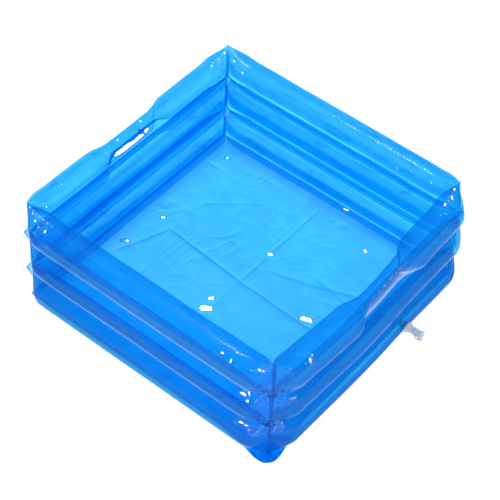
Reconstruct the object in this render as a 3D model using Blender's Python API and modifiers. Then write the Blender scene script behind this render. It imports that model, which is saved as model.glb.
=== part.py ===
"""Inflatable foot bath.

A square tub of thin clear blue film stands on its flat film floor. Each wall is a stack of
three air tubes that taper to a sleeve at each corner, and a thin weld joins each tube to the
next. The left and right walls have a hand-hold slot under a narrow grip in the upper tube.
The air valve is on the outside of the right wall's lower tube, with a plug on a strap.

The front wall faces -Y, the right wall +X, and the tub stands on z = 0.
"""
import math

import bmesh
import bpy
from mathutils import Matrix, Vector

# Walls and floor
wall_span = 0.340
film = 0.0004
gap = 0.0003
tube_height = 0.0454
tube_thickness = 0.0380
weld_height = 0.0024
weld_thickness = 0.0008
fold_thickness = 0.0024
floor_overhang = 0.0036
floor_corner_radius = 0.0050
levels = ("lower", "middle", "upper")

# Corners
corner_clearance = 0.0028
taper_run = 0.0240
rise_run = 0.0392
corner_rise_share = 0.062
sleeve_width = 0.0044
sleeve_thickness = 0.0024
sleeve_passage_width = 0.0012
sleeve_passage_margin = 0.0060
sleeve_tip_height = 0.0030
ear_reach = 0.0050
ear_half_height = 0.0055

# Hand-holds
slot_length = 0.0600
slot_height = 0.0130
slot_rim_width = 0.0018
grip_thickness = 0.0150
lower_lip_thickness = 0.0070
grip_half_length = 0.0320
grip_blend_run = 0.0320
grip_dip = 0.0020
left_hand_hold_offset = 0.0020
right_hand_hold_offset = 0.0080

# Valve
valve_offset = 0.0560
valve_height = 0.0194
stem_radius = 0.0047
stem_hole_radius = 0.0051
inner_flange_radius = 0.0062
inner_flange_thickness = 0.0008
inner_flange_depth = 0.0038
snout_radius = 0.0040
snout_length = 0.0060
skirt_radius = 0.0070
skirt_edge = 0.0007
skirt_length = 0.0050
neck_radius = 0.0042
neck_length = 0.0170
lip_radius = 0.0050
lip_length = 0.0016
bore_radius = 0.0025
plug_radius = 0.0022
plug_tip_radius = 0.0018
plug_length = 0.0070
stopper_radius = 0.0055
stopper_thickness = 0.0020
flap_radius = 0.0034
flap_thickness = 0.0005
flap_tab_width = 0.0022
flap_hinge_drop = 0.0038
strap_width = 0.0030
strap_thickness = 0.0008
strap_reach = 0.0062
strap_start = 0.0085

# Counts
turned_steps = 16
slot_arc_steps = 6
merge_distance = 0.00001

# How full a tube is at each height of its own, from its lower weld (0) to its top (1)
tube_height_shares = (0.0, 0.15, 0.325, 0.5, 0.675, 0.85, 1.0)
top_tube_height_shares = (0.0, 0.15, 0.325, 0.5, 0.66, 0.80, 0.92, 1.0)
hand_hold_height_shares = (0.0, 0.12, 0.245, 0.44, 0.635, 0.72, 0.82, 0.93, 1.0)
slot_centre_share = 0.44
end_station_shares = (0.0, 0.095, 0.21, 0.362, 0.612, 1.0)
grip_blend_shares = (0.0, 0.17, 0.34, 0.50, 0.66, 0.83, 1.0)

half_span = wall_span / 2
half_thickness = tube_thickness / 2
half_fold = fold_thickness / 2
level_pitch = tube_height + weld_height + 2 * gap
tube_base = film + gap
top_height = tube_base + 2 * level_pitch + tube_height
tube_end = half_span - corner_clearance

walls = ("front", "right", "back", "left")
film_colour = (0.02, 0.28, 0.78, 1.0)
clear_colour = (0.62, 0.64, 0.74, 1.0)


def clear_scene():
    for item in list(bpy.data.objects):
        bpy.data.objects.remove(item, do_unlink=True)
    for item in list(bpy.data.collections):
        bpy.data.collections.remove(item)


def new_collection(name):
    group = bpy.data.collections.new(name)
    bpy.context.scene.collection.children.link(group)
    return group


def add_material(item, colour, roughness):
    material = bpy.data.materials.new(item.name + "_material")
    material.use_nodes = True
    shader = material.node_tree.nodes["Principled BSDF"]
    shader.inputs["Base Color"].default_value = colour
    shader.inputs["Roughness"].default_value = roughness
    shader.inputs["Metallic"].default_value = 0.0
    item.data.materials.append(material)


def link_mesh(name, build, group):
    mesh = bpy.data.meshes.new(name)
    build.to_mesh(mesh)
    build.free()
    item = bpy.data.objects.new(name, mesh)
    group.objects.link(item)
    return item


def make_active(item):
    bpy.ops.object.select_all(action="DESELECT")
    item.select_set(True)
    bpy.context.view_layer.objects.active = item


def apply_modifiers(item):
    make_active(item)
    for modifier in list(item.modifiers):
        bpy.ops.object.modifier_apply(modifier=modifier.name)


def smooth(item, angle_degrees=35):
    make_active(item)
    bpy.ops.object.shade_smooth()
    item.data.set_sharp_from_angle(angle=math.radians(angle_degrees))


def cut(item, cutter):
    modifier = item.modifiers.new("cut_" + cutter.name, "BOOLEAN")
    modifier.operation = "DIFFERENCE"
    modifier.solver = "EXACT"
    modifier.object = cutter
    return modifier


def wall_matrix(wall):
    """Turn from the front wall's own axes (along, inwards, up) to those of the named wall."""
    return Matrix.Rotation(walls.index(wall) * math.pi / 2, 4, "Z")


def end_share(along, run):
    """0 in the straight length of a wall, 1 where its tubes end at the corner."""
    return min(1.0, max(0.0, (abs(along) - tube_end + run) / run))


def height_at(along, height):
    """Heights grow towards the corners, where the film keeps more of its flat width."""
    return height * (1 + corner_rise_share * end_share(along, rise_run) ** 2)


def end_taper(along):
    return math.cos(end_share(along, taper_run) * math.pi / 2)


def lens(share):
    """Half thickness of a tube whose two skins are arcs from weld to weld."""
    half_height = tube_height / 2
    arc = (half_thickness ** 2 + half_height ** 2) / (2 * half_thickness)
    rise = half_height * (2 * share - 1)
    return max(0.0, math.sqrt(arc ** 2 - rise ** 2) - (arc - half_thickness))


def round_top(share):
    rise = 2 * share - 1
    return half_thickness * math.sqrt(max(0.0, 1 - rise ** 2))


def lobe(share, start, end, thickness):
    middle = (start + end) / 2
    across = (share - middle) / ((end - start) / 2)
    return thickness / 2 * math.sqrt(max(0.0, 1 - across ** 2))


def tube_fullness(share, level):
    if level == "upper" and share > 0.5:
        return round_top(share)
    return lens(share)


def grip_fullness(share):
    lip_end = hand_hold_height_shares[2]
    grip_start = hand_hold_height_shares[4]
    if share < lip_end:
        return lobe(share, 0.0, lip_end, lower_lip_thickness)
    if share > grip_start:
        return lobe(share, grip_start, 1.0, grip_thickness)
    return 0.0


def grip_share(along, offset):
    """1 over the grip, 0 where the tube is full again on both sides of it."""
    past = (abs(along - offset) - grip_half_length) / grip_blend_run
    past = min(1.0, max(0.0, past))
    return (1 + math.cos(past * math.pi)) / 2


def loft(name, rings, capped, group):
    """Skin a row of point rings, all of the same count, with faces that look outwards."""
    build = bmesh.new()
    rows = [[build.verts.new(point) for point in ring] for ring in rings]
    count = len(rings[0])
    for near, far in zip(rows, rows[1:]):
        for index in range(count):
            after = (index + 1) % count
            build.faces.new((near[index], far[index], far[after], near[after]))
    if capped:
        build.faces.new(rows[0])
        build.faces.new(list(reversed(rows[-1])))
        bmesh.ops.recalc_face_normals(build, faces=build.faces)
    else:
        build.normal_update()
        first = next(iter(build.faces))
        middle = sum((vert.co for vert in rows[0]), Vector()) / count
        if (first.calc_center_median() - middle).dot(first.normal) < 0:
            bmesh.ops.reverse_faces(build, faces=build.faces)
    return link_mesh(name, build, group)


def plain_stations():
    near_end = [tube_end - rise_run * share for share in end_station_shares]
    return [-along for along in near_end] + list(reversed(near_end))


def hand_hold_stations(offset):
    blend = [grip_half_length + share * grip_blend_run for share in grip_blend_shares]
    grip = [offset - along for along in reversed(blend)] + [offset]
    grip = grip + [offset + along for along in blend]
    stations = plain_stations()
    half = len(stations) // 2
    return stations[:half] + grip + stations[half:]


def tube_ring(along, level, shares, offset):
    """One section of a tube, up its outer skin and down its inner skin."""
    outer = []
    base = tube_base + levels.index(level) * level_pitch
    for share in shares:
        full = tube_fullness(share, level)
        height = base + share * tube_height
        if offset is not None:
            held = grip_share(along, offset)
            full = (1 - held) * full + held * grip_fullness(share)
            height = height - held * grip_dip * max(0.0, share - slot_centre_share)
        reach = half_fold + max(0.0, full - half_fold) * end_taper(along)
        outer.append((along, -reach, height_at(along, height)))
    inner = [(point[0], -point[1], point[2]) for point in reversed(outer)]
    return [Vector(point) for point in outer + inner]


def add_tube(wall, level, group, offset=None):
    """An air tube: a thin film skin, open at both ends into the corner sleeves."""
    shares = tube_height_shares
    stations = plain_stations()
    if level == "upper":
        shares = top_tube_height_shares
    if offset is not None:
        shares = hand_hold_height_shares
        stations = hand_hold_stations(offset)
    rings = [tube_ring(along, level, shares, offset) for along in stations]
    turn = wall_matrix(wall)
    middle = Vector((0, -half_span, 0))
    placed = [[turn @ (point + middle) for point in ring] for ring in rings]
    item = loft(wall + "_" + level + "_tube", placed, False, group)
    skin = item.modifiers.new("film", "SOLIDIFY")
    skin.thickness = film
    skin.offset = -1
    skin.use_even_offset = True
    add_material(item, film_colour, 0.12)
    return item


def add_weld(wall, lower_level, group):
    """The thin weld between two tubes, where the wall's two skins are fused together."""
    base = tube_base + (levels.index(lower_level) + 1) * level_pitch - gap - weld_height
    turn = wall_matrix(wall)
    rings = []
    for along in plain_stations():
        low = height_at(along, base)
        high = height_at(along, base + weld_height)
        half = weld_thickness / 2
        ring = [(along, -half, low), (along, -half, high), (along, half, high), (along, half, low)]
        middle = Vector((0, -half_span, 0))
        rings.append([turn @ (Vector(point) + middle) for point in ring])
    upper_level = levels[levels.index(lower_level) + 1]
    item = loft("%s_%s_%s_weld" % (wall, lower_level, upper_level), rings, True, group)
    add_material(item, film_colour, 0.2)
    return item


def poly_curve(name, outlines, depth, group):
    """Fill flat outlines, holes included, and extrude them to both sides of z = 0."""
    shape = bpy.data.curves.new(name, "CURVE")
    shape.dimensions = "2D"
    shape.fill_mode = "BOTH"
    shape.extrude = depth / 2
    for outline in outlines:
        spline = shape.splines.new("POLY")
        spline.points.add(len(outline) - 1)
        for point, (across, up) in zip(spline.points, outline):
            point.co = (across, up, 0, 1)
        spline.use_cyclic_u = True
    curve = bpy.data.objects.new(name + "_outline", shape)
    group.objects.link(curve)
    bpy.context.view_layer.update()
    mesh = bpy.data.meshes.new_from_object(curve)
    bpy.data.objects.remove(curve, do_unlink=True)
    build = bmesh.new()
    build.from_mesh(mesh)
    bmesh.ops.remove_doubles(build, verts=build.verts, dist=merge_distance)
    bmesh.ops.recalc_face_normals(build, faces=build.faces)
    bpy.data.meshes.remove(mesh)
    return link_mesh(name, build, group)


def sleeve_outline():
    """Side view of a corner sleeve, outwards and up, with its tip and its ears of film."""
    half = sleeve_thickness / 2
    top = height_at(tube_end, top_height)
    outline = [(-half, tube_base), (half, tube_base)]
    for step in range(1, len(levels)):
        seam = height_at(tube_end, tube_base + step * level_pitch - gap - weld_height / 2)
        outline.append((half, seam - ear_half_height))
        outline.append((half + ear_reach, seam))
        outline.append((half, seam + ear_half_height))
    return outline + [(half, top), (0, top + sleeve_tip_height), (-half, top)]


def add_corner_sleeve(name, wall, group, cutters):
    """A corner seam: a flat sleeve from floor to tip, open through to the tubes' ends."""
    top = height_at(tube_end, top_height)
    low = tube_base + sleeve_passage_margin
    high = top - sleeve_passage_margin
    half = sleeve_passage_width / 2
    item = poly_curve(name, [sleeve_outline()], sleeve_width, group)
    passage = [(-half, low), (half, low), (half, high), (-half, high)]
    window = poly_curve(name + "_passage", [passage], 2 * sleeve_width, cutters)
    place = Matrix.Translation(Vector((half_span, -half_span, 0)))
    place = place @ Matrix.Rotation(-math.pi / 4, 4, "Z") @ Matrix.Rotation(math.pi / 2, 4, "X")
    for solid in (item, window):
        solid.data.transform(wall_matrix(wall) @ place)
    cut(item, window)
    add_material(item, film_colour, 0.2)
    return item


def slot_outline(length, height):
    """A level slot with round ends, from its right end round to its left."""
    radius = height / 2
    straight = length / 2 - radius
    points = []
    for side in (1, -1):
        for step in range(slot_arc_steps + 1):
            angle = side * math.pi / 2 - math.pi * step / slot_arc_steps
            if side < 0:
                angle = -math.pi / 2 - math.pi * step / slot_arc_steps
            points.append((side * straight + radius * math.cos(angle), radius * math.sin(angle)))
    return points


def slot_place(wall, offset):
    """From a flat outline to the wall's mid plane at the hand-hold."""
    up = tube_base + levels.index("upper") * level_pitch + slot_centre_share * tube_height
    stand = Matrix.Rotation(math.pi / 2, 4, "X")
    return wall_matrix(wall) @ Matrix.Translation((offset, -half_span, up)) @ stand


def add_slot_cutter(wall, offset, cutters):
    rim = slot_rim_width + gap
    outline = slot_outline(slot_length + 2 * rim, slot_height + 2 * rim)
    item = poly_curve(wall + "_slot_cutter", [outline], tube_thickness, cutters)
    item.data.transform(slot_place(wall, offset))
    return item


def add_slot_rim(wall, offset, group):
    """The fused rim of the hand-hold slot, where the film's cut edges are welded."""
    rim = slot_rim_width
    outer = slot_outline(slot_length + 2 * rim, slot_height + 2 * rim)
    inner = slot_outline(slot_length, slot_height)
    item = poly_curve(wall + "_hand_hold_rim", [outer, inner], fold_thickness, group)
    item.data.transform(slot_place(wall, offset))
    add_material(item, film_colour, 0.2)
    return item


def add_floor_sheet(group):
    """The flat film floor, welded under the lower tubes, out to the corner tips."""
    half = half_span + floor_overhang
    inset = half - floor_corner_radius
    outline = []
    for quarter in range(4):
        turn = Matrix.Rotation(quarter * math.pi / 2, 2)
        middle = turn @ Vector((inset, inset))
        for step in range(4):
            angle = quarter * math.pi / 2 + step * math.pi / 6
            outline.append((middle.x + floor_corner_radius * math.cos(angle),
                            middle.y + floor_corner_radius * math.sin(angle)))
    item = poly_curve("floor_sheet", [outline], film, group)
    item.data.transform(Matrix.Translation((0, 0, film / 2)))
    add_material(item, film_colour, 0.15)
    return item


def turned(name, profile, closed, group):
    """Turn a profile, given as (radius, height) down its outer side, about the Z axis."""
    build = bmesh.new()
    verts = [build.verts.new((radius, 0, height)) for radius, height in profile]
    for near, far in zip(verts, verts[1:]):
        build.edges.new((near, far))
    if closed:
        build.edges.new((verts[-1], verts[0]))
    item = link_mesh(name, build, group)
    screw = item.modifiers.new("turn", "SCREW")
    screw.axis = "Z"
    screw.angle = 2 * math.pi
    screw.steps = turned_steps
    screw.render_steps = turned_steps
    screw.use_merge_vertices = True
    screw.merge_threshold = merge_distance
    screw.use_normal_calculate = True
    apply_modifiers(item)
    build = bmesh.new()
    build.from_mesh(item.data)
    bmesh.ops.remove_doubles(build, verts=build.verts, dist=merge_distance)
    bmesh.ops.recalc_face_normals(build, faces=build.faces)
    build.to_mesh(item.data)
    build.free()
    return item


def point_outwards(item, reach):
    """Turn a piece made about the Z axis so that it points out of the right wall."""
    item.data.transform(Matrix.Rotation(math.pi / 2, 4, "Y"))
    item.location = (half_span + reach, valve_offset, valve_height)


def add_valve_body(group):
    """Moulded valve: snout and flange inside the film, skirt, neck and lip outside it."""
    face = half_thickness + gap
    flange_out = half_thickness - inner_flange_depth
    flange_in = flange_out - inner_flange_thickness
    snout_end = flange_in - snout_length
    skirt_top = face + skirt_length
    neck_top = face + neck_length
    lip_top = neck_top + lip_length
    profile = [
        (bore_radius, lip_top), (lip_radius, lip_top), (lip_radius, neck_top),
        (neck_radius, neck_top), (neck_radius, skirt_top), (skirt_radius, face + skirt_edge),
        (skirt_radius, face), (stem_radius, face), (stem_radius, flange_out),
        (inner_flange_radius, flange_out), (inner_flange_radius, flange_in),
        (snout_radius, flange_in), (snout_radius, snout_end), (bore_radius, snout_end),
    ]
    item = turned("valve_body", profile, True, group)
    point_outwards(item, 0)
    smooth(item)
    add_material(item, clear_colour, 0.25)
    return lip_top, snout_end


def add_valve_stopper(lip_top, group):
    """Disc head and tapered plug; its origin is on the valve's axis at the lip."""
    head = gap + stopper_thickness
    profile = [
        (0, head), (stopper_radius * 0.8, head), (stopper_radius, gap + stopper_thickness * 0.7),
        (stopper_radius, gap), (plug_radius, gap), (plug_tip_radius, -plug_length),
        (0, -plug_length),
    ]
    item = turned("valve_stopper", profile, False, group)
    point_outwards(item, lip_top)
    smooth(item)
    add_material(item, clear_colour, 0.25)
    return item


def add_valve_flap(snout_end, group):
    """Thin flap over the snout's inner end; its origin is on its hinge line."""
    half = flap_tab_width / 2
    start = math.asin(half / flap_radius)
    steps = 12
    outline = [(0, half), (0, -half)]
    for step in range(steps + 1):
        angle = start + (2 * math.pi - 2 * start) * step / steps
        across = flap_hinge_drop - flap_radius * math.cos(angle)
        outline.append((across, -flap_radius * math.sin(angle)))
    item = poly_curve("valve_flap", [outline], flap_thickness, group)
    item.data.transform(Matrix.Rotation(math.pi / 2, 4, "Y"))
    reach = snout_end - gap - flap_thickness / 2
    item.location = (half_span + reach, valve_offset, valve_height + flap_hinge_drop)
    add_material(item, clear_colour, 0.3)
    return item


def add_valve_strap(lip_top, group):
    """The strap that keeps the stopper, looped from the neck's underside to the head."""
    face = half_thickness + gap
    near = -neck_radius - gap - strap_thickness / 2
    far = -stopper_radius - gap - strap_thickness / 2
    head_middle = lip_top + gap + stopper_thickness / 2
    low = near - strap_reach
    run = head_middle - (face + strap_start)
    path = [
        (face + skirt_length + gap, near), (face + strap_start, near),
        (face + strap_start + run * 0.10, (near + low) / 2),
        (face + strap_start + run * 0.38, low), (face + strap_start + run * 0.75, low),
        (head_middle + run * 0.06, (far + low) / 2 - strap_thickness),
        (head_middle, far),
    ]
    points = [Vector(point) for point in path]
    sides = ([], [])
    for index, point in enumerate(points):
        before = points[max(0, index - 1)]
        after = points[min(len(points) - 1, index + 1)]
        course = (after - before).normalized()
        across = Vector((-course.y, course.x)) * strap_thickness / 2
        sides[0].append(tuple(point + across))
        sides[1].append(tuple(point - across))
    outline = sides[0] + list(reversed(sides[1]))
    item = poly_curve("valve_strap", [outline], strap_width, group)
    item.data.transform(Matrix.Rotation(math.pi / 2, 4, "X"))
    item.location = (half_span, valve_offset, valve_height)
    add_material(item, clear_colour, 0.3)
    return item


def add_stem_cutter(cutters):
    bpy.ops.mesh.primitive_cylinder_add(vertices=turned_steps, radius=stem_hole_radius,
                                        depth=half_thickness, location=(0, 0, 0))
    item = bpy.context.active_object
    item.name = "stem_cutter"
    for owner in list(item.users_collection):
        owner.objects.unlink(item)
    cutters.objects.link(item)
    item.data.transform(Matrix.Rotation(math.pi / 2, 4, "Y"))
    item.location = (half_span + half_thickness, valve_offset, valve_height)
    return item


def main():
    clear_scene()
    group = new_collection("inflatable_foot_bath")
    cutters = new_collection("cutters")
    add_floor_sheet(group)
    hand_holds = {"left": left_hand_hold_offset, "right": right_hand_hold_offset}
    for wall in walls:
        for level in levels:
            offset = hand_holds.get(wall) if level == "upper" else None
            tube = add_tube(wall, level, group, offset)
            if offset is not None:
                cut(tube, add_slot_cutter(wall, offset, cutters))
                add_slot_rim(wall, offset, group)
            if wall == "right" and level == "lower":
                cut(tube, add_stem_cutter(cutters))
        add_weld(wall, "lower", group)
        add_weld(wall, "middle", group)
    corners = {"front_right": "front", "back_right": "right", "back_left": "back",
               "front_left": "left"}
    for name, wall in corners.items():
        add_corner_sleeve(name + "_corner_sleeve", wall, group, cutters)
    lip_top, snout_end = add_valve_body(group)
    add_valve_stopper(lip_top, group)
    add_valve_flap(snout_end, group)
    add_valve_strap(lip_top, group)
    for item in cutters.objects:
        item.hide_render = True
        item.display_type = "WIRE"
    for item in group.objects:
        if item.name.endswith("_tube"):
            smooth(item)


main()
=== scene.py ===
"""Inflatable foot bath: its finished film, seams and valve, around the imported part.

A square tub of clear blue film. Each wall is three air tubes, one on another, that run out to
a seam at each corner. The left and right walls have a hand-hold. A valve of clear vinyl with
its stopper and strap is on the right wall. The file is laid out as an add-on and run as a
script: main() adds the pieces one after another, each with its own operator.
"""

import math

import bmesh
import bpy
import numpy as np
from bpy.props import FloatProperty, FloatVectorProperty, PointerProperty
from mathutils import Matrix, Vector


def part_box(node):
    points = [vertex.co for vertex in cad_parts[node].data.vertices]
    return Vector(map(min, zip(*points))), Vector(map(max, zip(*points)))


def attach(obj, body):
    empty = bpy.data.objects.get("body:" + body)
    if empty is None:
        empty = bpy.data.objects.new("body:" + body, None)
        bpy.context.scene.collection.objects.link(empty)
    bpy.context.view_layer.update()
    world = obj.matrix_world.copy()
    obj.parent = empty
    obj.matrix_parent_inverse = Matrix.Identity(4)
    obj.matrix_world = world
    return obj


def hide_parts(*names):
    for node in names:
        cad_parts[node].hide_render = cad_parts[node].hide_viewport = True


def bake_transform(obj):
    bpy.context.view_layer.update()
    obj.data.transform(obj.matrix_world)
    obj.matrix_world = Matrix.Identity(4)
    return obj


bl_info = {
    "name": "Inflatable foot bath",
    "version": (1, 0, 0),
    "blender": (4, 5, 0),
    "location": "3D View > Sidebar > Foot bath",
    "description": "Adds the film, seams and valve of an inflatable foot bath to its frame",
    "category": "Mesh",
}

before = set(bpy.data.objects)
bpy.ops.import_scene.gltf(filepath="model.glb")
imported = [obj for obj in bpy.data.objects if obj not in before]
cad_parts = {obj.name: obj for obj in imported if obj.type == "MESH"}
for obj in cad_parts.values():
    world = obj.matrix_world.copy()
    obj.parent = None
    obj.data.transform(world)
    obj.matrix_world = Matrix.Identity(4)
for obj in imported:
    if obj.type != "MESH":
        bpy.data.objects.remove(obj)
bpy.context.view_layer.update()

WALLS = ("front", "right", "back", "left")
LEVELS = ("lower", "middle", "upper")
CORNERS = {"front_right": 0, "back_right": 1, "back_left": 2, "front_left": 3}
TUB = "tub"
WHITE = (1.0, 1.0, 1.0, 1.0)


# ---------------------------------------------------------------- settings

def length(name, description, default):
    return FloatProperty(name=name, description=description, default=default, precision=5,
                         unit="LENGTH", subtype="DISTANCE")


def share(name, description, default):
    return FloatProperty(name=name, description=description, default=default, min=0.0,
                         subtype="FACTOR", soft_max=1.0, precision=3)


def colour(name, description, default):
    return FloatVectorProperty(name=name, description=description, default=default, size=3,
                               min=0.0, max=1.0, subtype="COLOR")


class WallSizes(bpy.types.PropertyGroup):
    """Sizes of the tubes and of the seams between them."""
    half_span: length("Half span", "From the middle of the tub to a wall's mid plane", 0.170)
    tube_base: length("Base", "Height of the lower tubes above the ground", 0.0007)
    tube_height: length("Tube height", "Height of one air tube", 0.0454)
    tube_thickness: length("Tube thickness", "Thickness of one air tube", 0.0380)
    level_pitch: length("Level pitch", "From one level of tubes to the next", 0.0484)
    fold: length("Fold", "Half thickness of the film where its two skins meet", 0.00035)
    end_clearance: length("End clearance", "From the corner to where the rise is full", 0.0028)
    taper_run: length("Taper run", "Length over which a tube thins to its corner", 0.0240)
    rise_run: length("Rise run", "Length over which the top rises to its corner", 0.0392)
    corner_rise: share("Corner rise", "Share by which heights grow at a corner", 0.062)


class WrinkleSizes(bpy.types.PropertyGroup):
    """Depths of the folds and puckers in the film."""
    pucker_depth: length("Pucker depth", "Depth of the puckers along the welds", 0.00022)
    knot_depth: length("Knots", "Depth of the crumples where welds meet a corner", 0.0011)
    crease_depth: length("Crease depth", "Depth of the creases that fan out of a corner", 0.0016)
    sway_depth: length("Sway depth", "Depth of the long, soft waves of a tube", 0.0005)
    ripple_depth: length("Ripple depth", "Depth of the ripples that catch the lamps", 0.00034)
    hand_hold_depth: length("Hand-hold depth", "Depth of the puckers round a slot", 0.0007)
    floor_depth: length("Floor depth", "Height of the folds in the floor sheet", 0.0012)


class HandHoldSizes(bpy.types.PropertyGroup):
    """Sizes of the slots in the left and right walls."""
    slot_length: length("Slot length", "Length of the slot", 0.0600)
    slot_height: length("Slot height", "Height of the slot", 0.0130)
    rim_width: length("Rim width", "Width of the fused rim round the slot", 0.0018)
    grip_thickness: length("Grip thickness", "Thickness of the tube left over the slot", 0.0150)
    lip_thickness: length("Lip thickness", "Thickness of the tube under the slot", 0.0070)
    half_length: length("Half length", "Half the length of the thin grip", 0.0320)
    blend_run: length("Blend run", "Length over which the grip swells to a full tube", 0.0320)
    dip: length("Dip", "How far the grip hangs down over the slot", 0.0020)
    left_offset: length("Left offset", "Place of the left slot along its wall", 0.0020)
    right_offset: length("Right offset", "Place of the right slot along its wall", 0.0080)


class ValveSizes(bpy.types.PropertyGroup):
    """Place and sizes of the valve."""
    offset: length("Offset", "Place of the valve along the right wall", 0.0560)
    height: length("Height", "Height of the valve's axis above the ground", 0.0194)
    face: length("Face", "From the wall's mid plane to the film round the valve", 0.0193)
    stem_radius: length("Stem radius", "Radius of the stem through the film", 0.0047)
    skirt_radius: length("Skirt radius", "Radius of the skirt on the film", 0.0070)
    neck_radius: length("Neck radius", "Radius of the neck", 0.0042)
    neck_length: length("Neck length", "Length of the neck with its skirt", 0.0170)
    lip_radius: length("Lip radius", "Radius of the rim at the mouth", 0.0050)
    lip_length: length("Lip length", "Length of the rim at the mouth", 0.0016)
    bore_radius: length("Bore radius", "Radius of the air's way through", 0.0025)
    stopper_radius: length("Stopper radius", "Radius of the stopper's head", 0.0055)


class FilmLook(bpy.types.PropertyGroup):
    """Colours and gloss of the film and the vinyl."""
    skin: colour("Film", "What one skin of the tubes lets through", (0.30, 0.83, 0.98))
    thick_skin: colour("Thick film", "What a thicker place lets through", (0.0, 0.40, 0.87))
    sheet: colour("Floor sheet", "What the floor sheet lets through", (0.31, 0.785, 0.99))
    thick_sheet: colour("Thick floor sheet", "What a crease in the floor sheet lets through",
                        (0.03, 0.43, 0.88))
    body: colour("Body", "Colour that the film scatters back", (0.010, 0.44, 1.0))
    weld: colour("Weld", "What a weld lets through", (0.22, 0.82, 0.97))
    seam: colour("Seam", "What a corner seam lets through", (0.70, 0.92, 1.0))
    vinyl: colour("Vinyl", "Colour of the clear vinyl valve", (0.91, 0.91, 0.97))
    haze: share("Haze", "Share of light that the film scatters", 0.02)
    roughness: share("Roughness", "Roughness of the film's gloss", 0.11)


class StageLook(bpy.types.PropertyGroup):
    """Camera, lamps and floor."""
    azimuth: FloatProperty(name="Azimuth", description="Camera's turn from the front",
                           default=math.radians(35.99), subtype="ANGLE")
    elevation: FloatProperty(name="Elevation", description="Camera's height angle",
                             default=math.radians(48.37), subtype="ANGLE")
    roll: FloatProperty(name="Roll", description="Camera's roll",
                        default=math.radians(3.87), subtype="ANGLE")
    distance: length("Distance", "From the camera to its target", 1.790)
    focal: FloatProperty(name="Focal length", description="Camera's focal length in mm",
                         default=114.98)
    target: FloatVectorProperty(name="Target", description="Point that the camera looks at",
                                default=(0.00977, -0.0058, 0.068), size=3,
                                subtype="TRANSLATION", unit="LENGTH")
    floor: colour("Floor", "Colour of the ground", (0.60, 0.60, 0.60))


class FootBath(bpy.types.PropertyGroup):
    """All the settings of the foot bath."""
    wall: PointerProperty(type=WallSizes)
    wrinkle: PointerProperty(type=WrinkleSizes)
    hold: PointerProperty(type=HandHoldSizes)
    valve: PointerProperty(type=ValveSizes)
    look: PointerProperty(type=FilmLook)
    stage: PointerProperty(type=StageLook)


def settings():
    return bpy.context.scene.foot_bath


# Where the lamps stand, and the one that film on each wall is turned to when it glints.
TOP_LAMP = (-0.30, 0.22, 2.20)
FRONT_LAMP = (0.44, -1.76, 1.30)
SIDE_LAMP = (2.10, -0.05, 0.80)
WALL_LAMP = {"front": FRONT_LAMP, "right": SIDE_LAMP, "back": FRONT_LAMP, "left": TOP_LAMP}
LAMP_AIM = (0.0, 0.0, 0.05)


def camera_back():
    """The direction from the camera's target back to the camera."""
    stage = settings().stage
    return Vector((math.sin(stage.azimuth) * math.cos(stage.elevation),
                   -math.cos(stage.azimuth) * math.cos(stage.elevation),
                   math.sin(stage.elevation)))


def glint(point, lamp):
    """The direction in which film at a point faces when it glints in the main view."""
    stage = settings().stage
    camera = Vector(stage.target) + camera_back() * stage.distance
    to_camera = (camera - Vector(point)).normalized()
    return np.array((to_camera + (Vector(lamp) - Vector(point)).normalized()).normalized())


# ---------------------------------------------------------------- materials

class Signal:
    """A socket of a material. Sums and products of signals add Math nodes."""

    def __init__(self, bench, socket):
        self.bench = bench
        self.socket = socket

    def maths(self, operation, *values):
        places = {index: value for index, value in enumerate(values)}
        return self.bench.add("ShaderNodeMath", {"operation": operation}, places)

    def __add__(self, other):
        return self.maths("ADD", self, other)

    def __radd__(self, other):
        return self.maths("ADD", other, self)

    def __sub__(self, other):
        return self.maths("SUBTRACT", self, other)

    def __rsub__(self, other):
        return self.maths("SUBTRACT", other, self)

    def __mul__(self, other):
        return self.maths("MULTIPLY", self, other)

    def least(self, other):
        return self.maths("MINIMUM", self, other)

    def most(self, other):
        return self.maths("MAXIMUM", self, other)


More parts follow.
